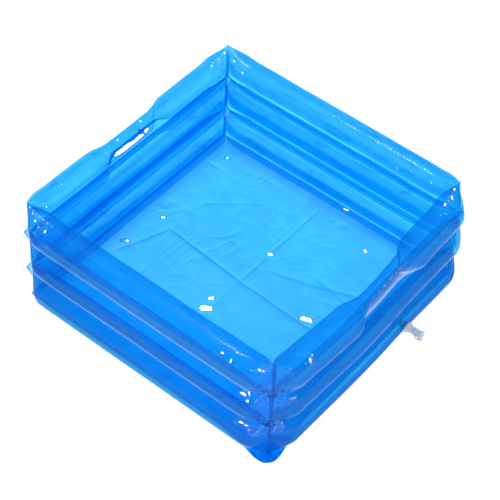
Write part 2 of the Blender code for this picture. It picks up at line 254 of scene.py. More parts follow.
class Bench:
    """Builds one material's nodes."""

    def __init__(self, tree):
        self.tree = tree
        tree.nodes.clear()

    def add(self, kind, choices=None, sockets=None, out=0):
        """One node: its own settings first, then its sockets, as values or as links."""
        node = self.tree.nodes.new(kind)
        for key, value in (choices or {}).items():
            if key == "stops":
                ramp = node.color_ramp.elements
                while len(ramp) < len(value):
                    ramp.new(0.5)
                for stop, (place, tone) in zip(ramp, value):
                    stop.position = place
                    stop.color = (tone, tone, tone, 1) if isinstance(tone, float) else tone
            else:
                setattr(node, key, value)
        for key, value in (sockets or {}).items():
            if isinstance(value, Signal):
                self.tree.links.new(value.socket, node.inputs[key])
            else:
                node.inputs[key].default_value = value
        return Signal(self, node.outputs[out])

    def place(self):
        return self.add("ShaderNodeTexCoord", out=3)

    def noise(self, scale, detail=2.0, roughness=0.5, distortion=0.0):
        sockets = {"Vector": self.place(), "Scale": scale, "Detail": detail,
                   "Roughness": roughness, "Distortion": distortion}
        return self.add("ShaderNodeTexNoise", {"noise_dimensions": "3D"}, sockets)

    def ramp(self, value, *stops):
        return self.add("ShaderNodeValToRGB", {"stops": stops}, {"Fac": value})

    def bump(self, height, strength, distance):
        return self.add("ShaderNodeBump", None,
                        {"Strength": strength, "Distance": distance, "Height": height})

    def mix(self, factor, first, second):
        return self.add("ShaderNodeMixShader", None, {0: factor, 1: first, 2: second})

    def mix_colour(self, factor, first, second):
        return self.add("ShaderNodeMix", {"data_type": "RGBA"},
                        {0: factor, 6: first, 7: second}, out=2)

    def clear(self, tone):
        return self.add("ShaderNodeBsdfTransparent", None, {"Color": opaque(tone)})

    def matter(self, tone, roughness, normal, specular):
        return self.add("ShaderNodeBsdfPrincipled", None,
                        {"Base Color": tone, "Roughness": roughness, "Normal": normal,
                         "Specular IOR Level": specular})

    def gloss(self, roughness, normal):
        return self.add("ShaderNodeBsdfAnisotropic", None,
                        {"Color": WHITE, "Roughness": roughness, "Normal": normal})

    def finish(self, surface, kind="ShaderNodeOutputMaterial"):
        node = self.tree.nodes.new(kind)
        self.tree.links.new(surface.socket, node.inputs["Surface"])


def opaque(tone):
    return (tone[0], tone[1], tone[2], 1.0)


def new_material(name):
    material = bpy.data.materials.new(name)
    material.use_nodes = True
    return material, Bench(material.node_tree)


def gloss_share(bench, normal, ior, least, most):
    """Share of light that a face mirrors: the same from inside as from outside."""
    inside = bench.add("ShaderNodeNewGeometry", out="Backfacing")
    mirrored = bench.add("ShaderNodeFresnel", None,
                         {"IOR": ior + inside * (1 / ior - ior), "Normal": normal})
    return (mirrored * mirrored * mirrored * 4.0).least(most) + least


def clear_film(name, thin, thick, body, haze, roughness, relief, density):
    """Clear, glossy, tinted film: light passes and is tinted, and gloss grows towards the edge.

    Its attribute of folds and painted shading darkens film that lies double, at welds and in
    creases, and also carries painted light and painted shade: film drawn lighter or darker where
    light and shade fall, and painted reflections of the ground. "cloud" makes it milky, "shine"
    makes it smoother and mirror more, "matt" spreads what it mirrors, and "ripple" says how
    strongly it is rippled along "ripple_place".
    """
    material, bench = new_material(name)
    crinkle = bench.noise(120.0, 4.0, 0.6, distortion=0.8)
    broad = bench.noise(45.0, 2.0, 0.5)
    field = lambda label: bench.add("ShaderNodeAttribute", {"attribute_name": label}, out=2)
    ripple = field("ripple")
    phase = field("ripple_place") * 1500.0 + bench.noise(60.0, 2.0, 0.5) * 14.0
    waves = phase.maths("SINE", phase)
    shine = field("shine")
    height = crinkle * 0.20 + broad * 0.30 + waves * ripple * 0.18
    height = height * (1.0 - shine.least(1.0) * 0.75)
    normal = bench.bump(height, relief, 0.0004)
    density = broad * 0.20 + density + field("bunched") * 0.70 + waves * ripple * 0.05
    light, dark, deep = [
        bench.clear(tone) for tone in (thin, thick, [channel * channel for channel in thick])]
    through = bench.mix(density.most(0.0).least(1.0), light, dark)
    through = bench.mix((density - 1.0).most(0.0).least(1.0), through, deep)
    cloudy = bench.mix_colour(bench.ramp(crinkle, (0.3, 0.0), (0.7, 1.0)),
                              opaque(body), opaque([tone * 0.8 for tone in body]))
    matter = bench.matter(cloudy, 0.45, normal, 0.0)
    misty = bench.ramp(crinkle, (0.2, haze * 0.6), (0.8, haze * 1.4))
    clouded = bench.mix((misty + field("cloud") * (broad * 0.3 + 0.85)).least(0.9), through,
                        matter)
    gloss_rough = bench.ramp(crinkle, (0.25, roughness * 0.7), (0.8, roughness * 1.6))
    gloss = bench.gloss(gloss_rough + field("matt"), normal)
    least = shine * 0.10 + 0.012
    bench.finish(bench.mix(gloss_share(bench, normal, 1.40, least, 0.24), clouded, gloss))
    return material


def clear_vinyl(name, tint, body_share):
    """Soft clear vinyl, a little milky, with the gloss of a moulding."""
    material, bench = new_material(name)
    grain = bench.noise(900.0, 2.0, 0.5)
    flow = bench.noise(240.0, 3.0, 0.6)
    normal = bench.bump(grain * 0.3 + flow, 0.25, 0.0003)
    edge = bench.add("ShaderNodeLayerWeight", None, {"Blend": 0.45, "Normal": normal}, out=1)
    through = bench.clear([0.72 + 0.26 * tone for tone in tint])
    milky = bench.mix_colour(bench.ramp(flow, (0.3, 0.0), (0.75, 1.0)),
                             opaque(tint), opaque([tone * 0.86 for tone in tint]))
    matter = bench.matter(milky, 0.35, normal, 0.3)
    clouded = bench.mix((edge * 0.35 + body_share).least(0.95), through, matter)
    gloss = bench.gloss(bench.ramp(flow, (0.2, 0.08), (0.8, 0.22)), normal)
    bench.finish(bench.mix(gloss_share(bench, normal, 1.45, 0.05, 0.8), clouded, gloss))
    return material


def finish_named(name):
    """The material of that name, made the first time that a piece asks for it."""
    found = bpy.data.materials.get(name)
    if found:
        return found
    look = settings().look
    if name == "clear_vinyl":
        return clear_vinyl(name, look.vinyl, 0.42)
    thin, thick, haze, roughness, relief, density = {
        "tube_film": (look.skin, look.thick_skin, 1.0, 1.0, 1.0, 0.40),
        "sheet_film": (look.sheet, look.thick_sheet, 0.3, 1.0, 0.6, 0.08),
        "weld_film": (look.skin, look.weld, 1.5, 1.5, 1.0, 0.40),
        "seam_film": (look.seam, look.thick_sheet, 2.0, 1.5, 1.0, 0.05)}[name]
    return clear_film(name, thin, thick, look.body, look.haze * haze,
                      look.roughness * roughness, relief, density)


# ---------------------------------------------------------------- surfaces

def hills(across, along, seed):
    """Smooth random hills from -1 to 1, about one unit wide, the same for the same seed."""
    table = np.random.default_rng(seed).uniform(-1, 1, (64, 64))
    across, along = np.broadcast_arrays(across, along)
    column, row = np.floor(across).astype(int), np.floor(along).astype(int)
    right, up = across - column, along - row
    right, up = right * right * (3 - 2 * right), up * up * (3 - 2 * up)
    pick = lambda step, rise: table[(column + step) % 64, (row + rise) % 64]
    lower = pick(0, 0) * (1 - right) + pick(1, 0) * right
    upper = pick(0, 1) * (1 - right) + pick(1, 1) * right
    return lower * (1 - up) + upper * up


def ridged(value):
    """Turn smooth waves into creases: sharp crests, round hollows."""
    return 1 - 2 * np.abs(value)


def fade(value, start, end):
    """0 at start, 1 at end, eased at both."""
    part = np.clip((value - start) / (end - start), 0, 1)
    return part * part * (3 - 2 * part)


def skin_normals(points):
    """Outward directions of a grid of points that is closed round its second axis."""
    along = np.gradient(points, axis=0)
    around = np.roll(points, -1, axis=1) - np.roll(points, 1, axis=1)
    normal = np.cross(along, around)
    normal /= np.maximum(np.linalg.norm(normal, axis=2, keepdims=True), 1e-12)
    outwards = points - points.mean(axis=1, keepdims=True)
    if (normal * outwards).sum() < 0:
        normal = -normal
    return normal


def to_wall(points, wall):
    """Turn points of the front wall's own axes to a wall's place in the tub."""
    half = settings().wall.half_span
    turn = WALLS.index(wall) * math.pi / 2
    x, y = points[..., 0], points[..., 1] - half
    return leaned(np.stack([x * math.cos(turn) - y * math.sin(turn),
                            x * math.sin(turn) + y * math.cos(turn), points[..., 2]], axis=-1))


# How far the back right tip leans in, and how far the right wall bows out.
TIP_LEAN, WALL_BOW = 0.0049, 0.0088


def leaned(points):
    """The tub's points as its film has sagged: one tip leans in, the right wall bows out."""
    x, y, z = points[..., 0], points[..., 1], points[..., 2]
    half = settings().wall.half_span
    tip = TIP_LEAN * fade(np.hypot(x - half, y - half), 0.060, 0.0) * fade(z, 0.095, 0.156)
    span = np.maximum(0, 1 - (y / half) ** 2) * np.exp(-((y + 0.040) / 0.105) ** 2)
    bow = WALL_BOW * span * fade(x, 0.120, 0.150) * (0.12 + 0.88 * (np.abs(z) / 0.143) ** 1.3)
    return np.stack([x - tip + bow, y - tip, z], axis=-1)


def link_piece(name, verts, faces, material, nodes, body=TUB, smooth=180.0,
               fields=None):
    """A finished mesh piece that rides on a body. Fields are numbers for its film's look."""
    mesh = bpy.data.meshes.new(name)
    mesh.from_pydata([tuple(map(float, vert)) for vert in verts], [], faces)
    for label, values in (fields or {}).items():
        field = mesh.attributes.new(label, "FLOAT", "POINT")
        field.data.foreach_set("value", np.asarray(values, dtype=np.float32).reshape(-1))
    build = bmesh.new()
    build.from_mesh(mesh)
    bmesh.ops.recalc_face_normals(build, faces=build.faces)
    build.to_mesh(mesh)
    build.free()
    mesh.shade_smooth()
    if smooth < 180:
        mesh.set_sharp_from_angle(angle=math.radians(smooth))
    mesh.materials.append(finish_named(material))
    piece = bpy.data.objects.new(name, mesh)
    bpy.context.scene.collection.objects.link(piece)
    if body:
        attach(piece, body)
    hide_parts(*nodes)
    return piece


def grid_faces(rows, columns, closed):
    """Faces of a grid of points, closed round its columns or not."""
    faces = []
    for row in range(rows - 1):
        for column in range(columns if closed else columns - 1):
            after = (column + 1) % columns
            faces.append((row * columns + column, row * columns + after,
                          (row + 1) * columns + after, (row + 1) * columns + column))
    return faces


def capped_faces(rows, columns):
    """Faces of a grid closed round its columns, with a flat cap on each end."""
    caps = [tuple(row * columns + column for column in range(columns)) for row in (0, rows - 1)]
    return grid_faces(rows, columns, True) + caps


# ---------------------------------------------------------------- tubes

def end_share(along, run):
    sizes = settings().wall
    end = sizes.half_span - sizes.end_clearance
    return np.clip((np.abs(along) - end + run) / run, 0, 1)


def raised(along, height):
    sizes = settings().wall
    return height * (1 + sizes.corner_rise * end_share(along, sizes.rise_run) ** 2)


def tube_round(part, level):
    """Half thickness of a tube at each height of its own, from its lower weld to its top."""
    sizes = settings().wall
    half_thick, half_high = sizes.tube_thickness / 2, sizes.tube_height / 2
    arc = (half_thick ** 2 + half_high ** 2) / (2 * half_thick)
    rise = half_high * (2 * part - 1)
    lens = np.sqrt(np.maximum(arc ** 2 - rise ** 2, 0)) - (arc - half_thick)
    if level != "upper":
        return np.maximum(lens, 0)
    dome = half_thick * np.sqrt(np.maximum(1 - (2 * part - 1) ** 2, 0))
    return np.where(part > 0.5, dome, np.maximum(lens, 0))


# Heights on the upper tube at a hand-hold, as shares of the tube's, and how many lines of the
# grid lie on the lip, on each side of the slot and on the grip; a plain tube has HALF_ROUND.
LIP_END, SLOT_MIDDLE, GRIP_START = 0.245, 0.44, 0.635
LIP_LINES, BAND_LINES, GRIP_LINES = 10, 6, 17
HALF_ROUND = 40


def grip_round(part):
    """Half thickness across the hand-hold: the lip, the fused band, then the grip."""
    hold = settings().hold

    def lobe(start, end, thickness):
        across = np.clip((part - (start + end) / 2) / ((end - start) / 2), -1, 1)
        return thickness / 2 * np.sqrt(1 - across ** 2)

    return np.where(part < LIP_END, lobe(0.0, LIP_END, hold.lip_thickness),
                    np.where(part > GRIP_START, lobe(GRIP_START, 1.0, hold.grip_thickness), 0.0))


def held_share(along, offset):
    hold = settings().hold
    past = np.clip((np.abs(along - offset) - hold.half_length) / hold.blend_run, 0, 1)
    return (1 + np.cos(past * math.pi)) / 2


def wall_stations(extra=()):
    """Places along a wall, closer together towards the corners."""
    half = settings().wall.half_span
    near = np.concatenate([[0.0006, 0.0012, 0.0018, 0.0025],
                           np.arange(0.0032, 0.0400, 0.00080)])
    middle = np.arange(-0.130, 0.1301, 0.00120)
    places = np.unique(np.concatenate([-half + near, middle, half - near, list(extra)]))
    keep = [places[0]]
    for place in places[1:]:
        if place - keep[-1] > 0.00022:
            keep.append(place)
    return np.array(keep)


def slot_half_height(across):
    """Half height of the slot at a distance from its middle; its ends are round."""
    hold = settings().hold
    part = np.clip(np.abs(across) / (hold.slot_length / 2), 0, 1)
    return np.maximum(hold.slot_height / 2 * (1 - part ** 3.2) ** 0.55, 0.0005)


def slot_sag(across):
    """How far the grip's film hangs into the slot at a distance from its middle."""
    return 0.0060 * np.exp(-((across + 0.004) / 0.0115) ** 2)


def plain_parts(count):
    turn = np.linspace(0, math.pi, count)
    return (1 - np.cos(turn)) / 2


def spread(starts, ends, count, eased):
    """Rows of places from starts to ends, closer together at both if they are eased."""
    part = np.linspace(0, 1, count)
    if eased:
        part = (1 - np.cos(part * math.pi)) / 2
    return starts[:, None] + (ends - starts)[:, None] * part[None, :]


def hand_hold_parts(along, offset):
    """Heights of the grid's lines at each station; two of them follow the slot's edges."""
    sizes = settings().wall
    half = slot_half_height(along - offset) / sizes.tube_height
    one = np.ones_like(along)
    low = SLOT_MIDDLE * one - half
    high = SLOT_MIDDLE * one + half - slot_sag(along - offset) / sizes.tube_height
    rows = [spread(0 * one, LIP_END * one, LIP_LINES, True)[:, :-1],
            spread(LIP_END * one, low, BAND_LINES, False),
            spread(high, GRIP_START * one, BAND_LINES, False)[:, :-1],
            spread(GRIP_START * one, one, GRIP_LINES, True)]
    return np.concatenate(rows, axis=1), LIP_LINES + BAND_LINES - 2


# How much darker, or lighter, each wall's tubes are drawn, from the lowest up.
WALL_DENSITY = {"front": (-0.44, -0.42, -0.42), "right": (-0.24, -0.40, -0.38),
                "back": (-0.06, 0.12, 0.06), "left": (-0.06, 0.10, 0.0)}

# How dark the film is along the welds, how light beside them, how far from them that reaches,
# and how dark the line along the crest is. Then how much lighter the outside under each tube is
# painted, a painted reflection of the pale ground, and how milky the film.
LINES = {"front": (0.30, 0.20, 0.012, 0.6), "right": (0.30, 0.15, 0.012, 0.6),
         "back": (0.0, 1.1, 0.0048, 0.0), "left": (0.0, 1.0, 0.0048, 0.0)}
PAINTED_UNDERSIDE_LIGHT = {"front": 0.55, "right": 0.25, "back": 0.25, "left": 0.30}
CLOUD = {"front": 0.16, "right": 0.24, "back": 0.0, "left": 0.02}

# On the outside of the near walls: how much more the underside of each tube mirrors the ground,
# how much less the middle does, and how much darker the film is drawn beside the floor.
UNDER_SHINE = {"front": (4.2, 0.6), "right": (3.0, 0.4)}
BASE_DENSITY = {"front": 0.40, "right": 1.60}

# How crumpled the film is at each corner, where its welds meet the seam: in the walls' order,
# the corner at each one's far end. The facets' size and the creases' width between them.
CRUMPLED = {"front_right": 1.0, "back_right": 0.5, "back_left": 0.5, "front_left": 0.6}
FACET_SIZE, CREASE_WIDTH = 0.0046, 0.0009

# Along the walls: from one pucker beside a weld, ripple, or bead under a grip to the next. Then
# how far a patch of ripples reaches round its tube, in degrees.
PUCKER_PITCH, RIPPLE_PITCH, BEAD_PITCH = 0.0083, 0.0058, 0.0062
RIPPLE_SPAN = 17


def crumpled_at(wall, along):
    """How crumpled the corner is that each place along a wall is nearest to."""
    amounts, index = list(CRUMPLED.values()), WALLS.index(wall)
    return np.where(along < 0, amounts[index - 1], amounts[index])


# Small facets of film that glint in the main view. For each tube: place along it in mm, degrees
# up from the outside, half length and half width in mm, and turn in degrees.
SPARKS = {
    ("front", "upper"): ((113, 52, 2.8, 1.8, 70), (125, 46, 2.4, 1.2, 80), (156, 56, 1.8, 1.1, 30),
                         (162, 60, 4.0, 1.1, 40), (-164, 76, 3.0, 1.6, 70),
                         (-157, 70, 1.8, 1.1, 0), (-150, 64, 2.0, 1.2, 90),
                         (-143, 58, 1.8, 1.1, 20), (-134, 56, 2.6, 1.3, 80),
                         (-128, 50, 1.6, 1.1, 0)),
    ("front", "middle"): ((141, 56, 4.2, 2.6, 20), (148, 42, 2.8, 1.5, 80),
                          (-120, 60, 1.8, 1.2, 0)),
    ("front", "lower"): ((141, 52, 6.0, 1.9, 10), (151, 46, 6.5, 1.8, -12),
                         (12, 60, 2.2, 1.3, 60)),
    ("right", "upper"): ((-149, 108, 2.2, 1.1, 10), (-137, 84, 1.6, 1.2, 0),
                         (-130, 48, 3.0, 1.2, 60), (-125, 54, 2.4, 1.1, 60),
                         (158, 92, 2.8, 1.3, 80), (148, 86, 2.8, 1.3, 70), (141, 100, 1.8, 1.1, 0),
                         (134, 92, 3.0, 1.4, 40), (108, 60, 2.4, 1.2, 0), (28, 60, 2.2, 1.3, 30),
                         (21, 58, 1.8, 1.1, 60), (12, 62, 2.8, 1.3, 60), (-2, 60, 1.9, 1.2, 0),
                         (-11, 60, 1.9, 1.1, 90)),
    ("right", "middle"): ((-155, 44, 2.4, 1.4, 50), (-148, 48, 2.2, 1.1, 50)),
    ("right", "lower"): ((-145, 56, 1.9, 1.2, 0),),
    ("back", "upper"): ((84, 138, 1.9, 1.2, 0), (33, 142, 1.6, 1.2, 90), (10, 144, 1.6, 1.2, 0),
                        (-41, 142, 1.8, 1.3, 90), (-90, 150, 2.0, 1.3, 90),
                        (-107, 134, 2.2, 1.1, 90), (153, 132, 2.6, 1.1, 80),
                        (147, 139, 2.0, 1.1, 30), (141, 143, 1.8, 1.1, 90),
                        (136, 135, 2.0, 1.1, 20), (130, 146, 1.8, 1.2, 0),
                        (125, 128, 3.0, 1.1, 60), (119, 136, 1.8, 1.1, 90)),
    ("back", "middle"): ((122, 124, 3.2, 1.1, 60),),
    ("back", "lower"): ((-33, 176, 3.6, 2.2, 25), (-26, 170, 2.2, 1.3, 80)),
    ("left", "upper"): ((-146, 108, 3.0, 1.3, 20), (-134, 106, 1.8, 1.2, 0),
                        (-160, 106, 3.2, 1.1, 80), (-11, 98, 1.8, 1.3, 0), (28, 104, 1.9, 1.2, 0),
                        (-7, 150, 1.8, 1.1, 0)),
    ("left", "middle"): ((-121, 116, 2.8, 1.1, 40),),
}

# Places where short ripples catch the lamps, each along its wall and round its tube, in
# degrees up from the outside, with the length of the patch.
RIPPLED = {
    ("front", "upper"): ((0.109, 46, 0.015), (-0.148, 58, 0.014), (0.150, 58, 0.006)),
    ("right", "upper"): ((0.122, 70, 0.018), (0.150, 110, 0.010), (-0.132, 60, 0.010)),
    ("back", "upper"): ((-0.042, 140, 0.003), (-0.092, 143, 0.004), (-0.109, 140, 0.003),
                        (-0.137, 130, 0.007), (0.134, 130, 0.012)),
    ("left", "upper"): ((-0.141, 108, 0.010), (0.120, 112, 0.005)),
    ("front", "middle"): ((0.142, 56, 0.005), (-0.120, 60, 0.004)),
    ("right", "middle"): ((-0.150, 48, 0.007),),
    ("back", "middle"): ((0.114, 137, 0.004),),
}


def turn_round(part, side):
    """Angle of a place round its tube, in degrees up from the outside."""
    out = -0.5 * side * np.sqrt(np.maximum(1e-6, 1 - (2 * part - 1) ** 2))
    return np.degrees(np.arctan2(part - 0.5, out) % (2 * math.pi))


def ripple_patches(wall, level, along, turn):
    """How strongly each patch of short ripples is felt at each point of a tube."""
    return [np.exp(-((along - place) / run) ** 2 - ((turn - degrees) / RIPPLE_SPAN) ** 2)
            for place, degrees, run in RIPPLED.get((wall, level), ())]


def tube_wrinkles(along, part, side, wall, level, seed, offset):
    """How far the film stands out of the plain tube at each point: in its folds, and in knots.

    The folds are soft waves, puckers and creases at each weld, patches of ripples, a crown along
    the top, and what gathers round a slot.
    """
    sizes, wrinkle = settings().wall, settings().wrinkle
    seam = sizes.half_span - np.abs(along)
    corner = np.where(along < 0, 0.0, 31.0)
    to_low = part * sizes.tube_height
    to_high = (1 - part) * sizes.tube_height
    around = side * to_low * 1.4
    sway = hills(along / 0.055 + seed, around / 0.030, seed) * wrinkle.sway_depth
    calm = fade(to_low, 0.0, 0.006) * fade(to_high, 0.0, 0.006 if level != "upper" else 0.001)
    move = sway * calm
    lateral = tube_round(part, level)
    knots = np.zeros_like(move)
    for edge, count in ((to_low, 0), (to_high, 1)):
        if (level == "upper" and count) or (level == "lower" and not count):
            continue
        knot = np.hypot(seam, np.hypot(edge, lateral) * 0.8)
        crumple = ridged(hills(along / 0.0040, part * 11 + 3 * side, seed + 21 + count))
        crumple = crumple + 0.6 * ridged(hills(along / 0.0085, part * 17 + side, seed + 23))
        crumple = crumple * crumpled_at(wall, along)
        knots = knots + wrinkle.knot_depth * crumple * np.exp(-(knot / 0.013) ** 2) * (
            fade(knot, 0.0, 0.003))
        wander = hills(along / 0.020, side + 5.0 * count, seed + 3) * 1.1
        waves = np.cos(2 * math.pi * along / PUCKER_PITCH + 3.5 * wander + 9 * side)
        strength = 0.15 + 0.5 * fade(hills(along / 0.030, 3.0 + side, seed + 4 + count), 0.1, 0.7)
        strength = strength + 1.6 * fade(seam, 0.045, 0.010)
        move = move - wrinkle.pucker_depth * strength * (0.5 + 0.5 * waves) * (
            np.exp(-edge / 0.0055) * fade(edge, 0.0, 0.0025))
        distance = np.hypot(seam * 0.8, edge) + 1e-6
        angle = np.arctan2(edge, seam + 1e-6)
        fan = ridged(np.sin(angle * 4.6 + 1.3 * np.sin(seed + corner + 2.1 * count + side)
                            + 1.5 * hills(distance / 0.030 + corner, angle, seed + 9)))
        reach = np.exp(-distance / 0.010) * fade(distance, 0.0, 0.006)
        move = move + wrinkle.crease_depth * fan * reach * fade(seam, 0.0, 0.005)
    turn = turn_round(part, side)
    for window in ripple_patches(wall, level, along, turn):
        wander = hills(along / 0.013, turn / 25, seed + 12) * 0.9
        move = move + wrinkle.ripple_depth * window * np.sin(
            2 * math.pi * along / RIPPLE_PITCH + 2 * wander + seed)
    if level == "upper":
        top = np.exp(-to_high / 0.006)
        crown = ridged(hills(along / 0.010 + 3, side * to_high / 0.012, seed + 11))
        move = move + 0.0004 * crown * top * fade(seam, 0.050, 0.012) * fade(seam, 0.0, 0.004)
    if offset is not None:
        hold = settings().hold
        across = along - offset
        slot_end = np.abs(across) - hold.slot_length / 2
        up = (part - SLOT_MIDDLE) * sizes.tube_height
        distance = np.hypot(slot_end, up) + 1e-6
        angle = np.arctan2(up, slot_end)
        fan = ridged(np.sin(angle * 3.4 + np.where(across < 0, 0.4, 1.9) + side))
        reach = np.exp(-distance / 0.015) * fade(distance, 0.0, 0.006) * (
            fade(slot_end, -0.012, 0.004))
        move = move + wrinkle.hand_hold_depth * 1.5 * fan * reach
        near_grip = fade(np.abs(across), 0.048, 0.026)
        rows = np.exp(-np.abs(part - GRIP_START - 0.10) * sizes.tube_height / 0.0035)
        beads = np.sin(2 * math.pi * along / BEAD_PITCH
                       + 2.0 * hills(along / 0.02, side, seed + 8))
        lively = 0.3 + 0.7 * fade(hills(along / 0.014, side, seed + 13), -0.2, 0.5)
        move = move + wrinkle.hand_hold_depth * 0.25 * beads * rows * near_grip * lively
    return move, knots


def film_fields(along, part, side, wall, level, seed):
    """How the film looks at each point: the numbers that its material reads, and "crumple".

    The far walls are seen from the inside, the near ones from the outside. Besides the folds and
    welds, the numbers hold painted light and painted shade for this view, such as painted
    reflections of the ground.
    """
    sizes = settings().wall
    seam = sizes.half_span - np.abs(along)
    around = side * part * sizes.tube_height * 1.4
    patch = 0.6 * fade(hills(along / 0.034, around / 0.020 + 9, seed + 6), 0.1, 0.6)
    patch = patch + (0.4 if wall in ("back", "left") else 0.9) * fade(seam, 0.080, 0.015)
    turn = turn_round(part, side)
    outer = np.where(side < 0, 1.0, 0.0)
    lateral = tube_round(part, level)
    from_low = np.hypot(lateral, part * sizes.tube_height)
    from_high = np.hypot(lateral, (1 - part) * sizes.tube_height)
    weld_line, weld_light, light_run, crest_line = LINES[wall]

    def weld_tone(distance):
        return weld_line * np.exp(-(distance / 0.0024) ** 2) - weld_light * np.exp(
            -(distance / light_run) ** 2)

    bunched = weld_tone(from_low)
    if level == "upper":
        patch = patch + 0.5 * fade(part, 0.75, 1.0)
        bunched = bunched + crest_line * fade(turn, 136, 142) * fade(turn, 158, 150)
        # A pale band a little below the crest: a painted reflection.
        bunched = bunched - 0.35 * np.exp(-((from_high - 0.009) / 0.006) ** 2)
    else:
        bunched = bunched + weld_tone(from_high)
    line = ridged(hills(along / 0.070 + 4, part * 9 + side * 3, seed + 15))
    bunched = bunched + 0.40 * np.clip(line, 0, 1) ** 8
    # The outside under each tube is painted lighter: a painted reflection of the pale ground.
    bunched = bunched - PAINTED_UNDERSIDE_LIGHT[wall] * outer * fade(part, 0.26, 0.06)
    bunched = bunched + WALL_DENSITY[wall][LEVELS.index(level)]
    shine, matt = 0.04 * np.clip(patch, 0, 1), np.zeros_like(bunched)
    if wall in ("back", "left"):
        # On the inside of the far walls each tube is drawn darker in a band high up, and below
        # that it is painted lighter: painted light that offsets the shade seen through the film.
        strip = 0.35 if level == "upper" else 0.75
        strip = strip * fade(part, 0.88, 0.78) * fade(part, 0.60, 0.68)
        bunched = bunched + (1 - outer) * (strip - 0.7 * fade(part, 0.64, 0.58))
        if level == "upper":
            shine = shine + 0.3 * fade(turn, 100, 60) * outer
        elif wall == "left":
            bunched = bunched + 0.40 * (1 - outer) * fade(along, -0.02, 0.12)
    else:
        low, middle = UNDER_SHINE[wall]
        matt = outer * fade(part, 0.46, 0.14) * fade(seam, 0.008, 0.030)
        shine = shine + low * matt - middle * outer * fade(part, 0.44, 0.54) * (
            fade(part, 0.80, 0.65))
        if level == "lower":
            bunched = bunched + BASE_DENSITY[wall] * outer * (
                fade(part, 0.78, 0.62) * fade(part, 0.08, 0.26))
    bunched = bunched - 0.6 * fade(seam, 0.005, 0.001)
    for window in ripple_patches(wall, level, along, turn):
        patch = patch + 0.8 * window
    corner = crumpled_at(wall, along)
    crumple = np.zeros_like(bunched)
    for distance, there in ((from_low, level != "lower"), (from_high, level != "upper")):
        if there:
            crumple = crumple + 1.6 * np.exp(-(np.hypot(seam * 0.55, distance * 0.9) / 0.010) ** 2)
    crumple = np.clip(crumple, 0, 1) * corner
    crumple = crumple + 0.20 * corner * fade(seam, 0.034, 0.006) * fade(
        hills(along / 0.012, part * 5, seed + 31), -0.1, 0.6)
    return {"ripple": np.clip(patch, 0, 1.5), "bunched": bunched, "crumple": crumple,
            "cloud": np.full_like(bunched, CLOUD[wall]), "shine": shine, "matt": 0.5 * matt,
            "ripple_place": along + np.sign(along) * around * 0.30}


def add_crumples(points, strength, seed):
    """Crumple a tube's film where its strength says. Returns how dark and shiny that makes it.

    The film breaks into small flat facets, each leaning its own way, with a crease between two.
    """
    normal = skin_normals(points)
    chosen = strength > 0.03
    dark, shine = np.zeros(points.shape[:2]), np.zeros(points.shape[:2])
    if not chosen.any():
        return dark, shine
    here = points[chosen]
    for sign_x in (-1, 1):
        for sign_y in (-1, 1):
            mine = (here[:, 0] * sign_x > 0) & (here[:, 1] * sign_y > 0)
            if not mine.any():
                continue
            spots = here[mine]
            random = np.random.default_rng(seed)
            low, high = spots.min(axis=0) - 0.003, spots.max(axis=0) + 0.003
            count = int(np.prod(high - low) / FACET_SIZE ** 3)
            centres = random.uniform(low, high, (count, 3))
            lean = random.uniform(-0.75, 0.75, (count, 3))
            tone = random.uniform(-0.9, 1.1, count)
            gleam = np.where(random.uniform(0, 1, count) > 0.6, 2.0, 0.0)
            away = np.linalg.norm(spots[:, None] - centres[None], axis=2)
            order = np.argsort(away, axis=1)[:, :2]
            each = np.arange(len(spots))
            nearest, gap = order[:, 0], away[each, order[:, 1]] - away[each, order[:, 0]]
            places = np.flatnonzero(chosen.reshape(-1))[mine]
            amount = strength.reshape(-1)[places]
            rise = ((spots - centres[nearest]) * lean[nearest]).sum(axis=1) * amount
            points.reshape(-1, 3)[places] += normal.reshape(-1, 3)[places] * rise[:, None]
            crease = np.exp(-(gap / CREASE_WIDTH) ** 2)
            dark.reshape(-1)[places] = amount * tone[nearest]
            shine.reshape(-1)[places] = amount * gleam[nearest] * crease
    return dark, shine


def add_sparks(points, along, degrees, sparks, wall):
    """Press the small glinting facets into a tube's film. Returns how much each point shines."""
    normal = skin_normals(points)
    course = np.gradient(points, axis=0)
    shine = np.zeros(points.shape[:2])
    for place, up, half_long, half_wide, turn in sparks:
        row = int(np.argmin(np.abs(along - place * 0.001)))
        column = int(np.argmin(np.abs(degrees[row] - up)))
        centre, facing = points[row, column].copy(), normal[row, column]
        first = course[row, column] / np.linalg.norm(course[row, column])
        second = np.cross(facing, first)
        away = points - centre
        turn = math.radians(turn)
        along_facet = away @ (first * math.cos(turn) + second * math.sin(turn))
        over_facet = away @ (second * math.cos(turn) - first * math.sin(turn))
        size = np.hypot(along_facet / half_long, over_facet / half_wide) * 1000
        window = fade(size, 2.0, 1.2) * fade(np.abs(away @ facing), 0.006, 0.004)
        aim = glint(centre, WALL_LAMP[wall] if up < 75 or wall == "back" else TOP_LAMP)
        slope = facing - aim / (facing @ aim)
        points += facing * (window * (away @ slope))[..., None]
        shine = np.maximum(shine, window)
    return shine


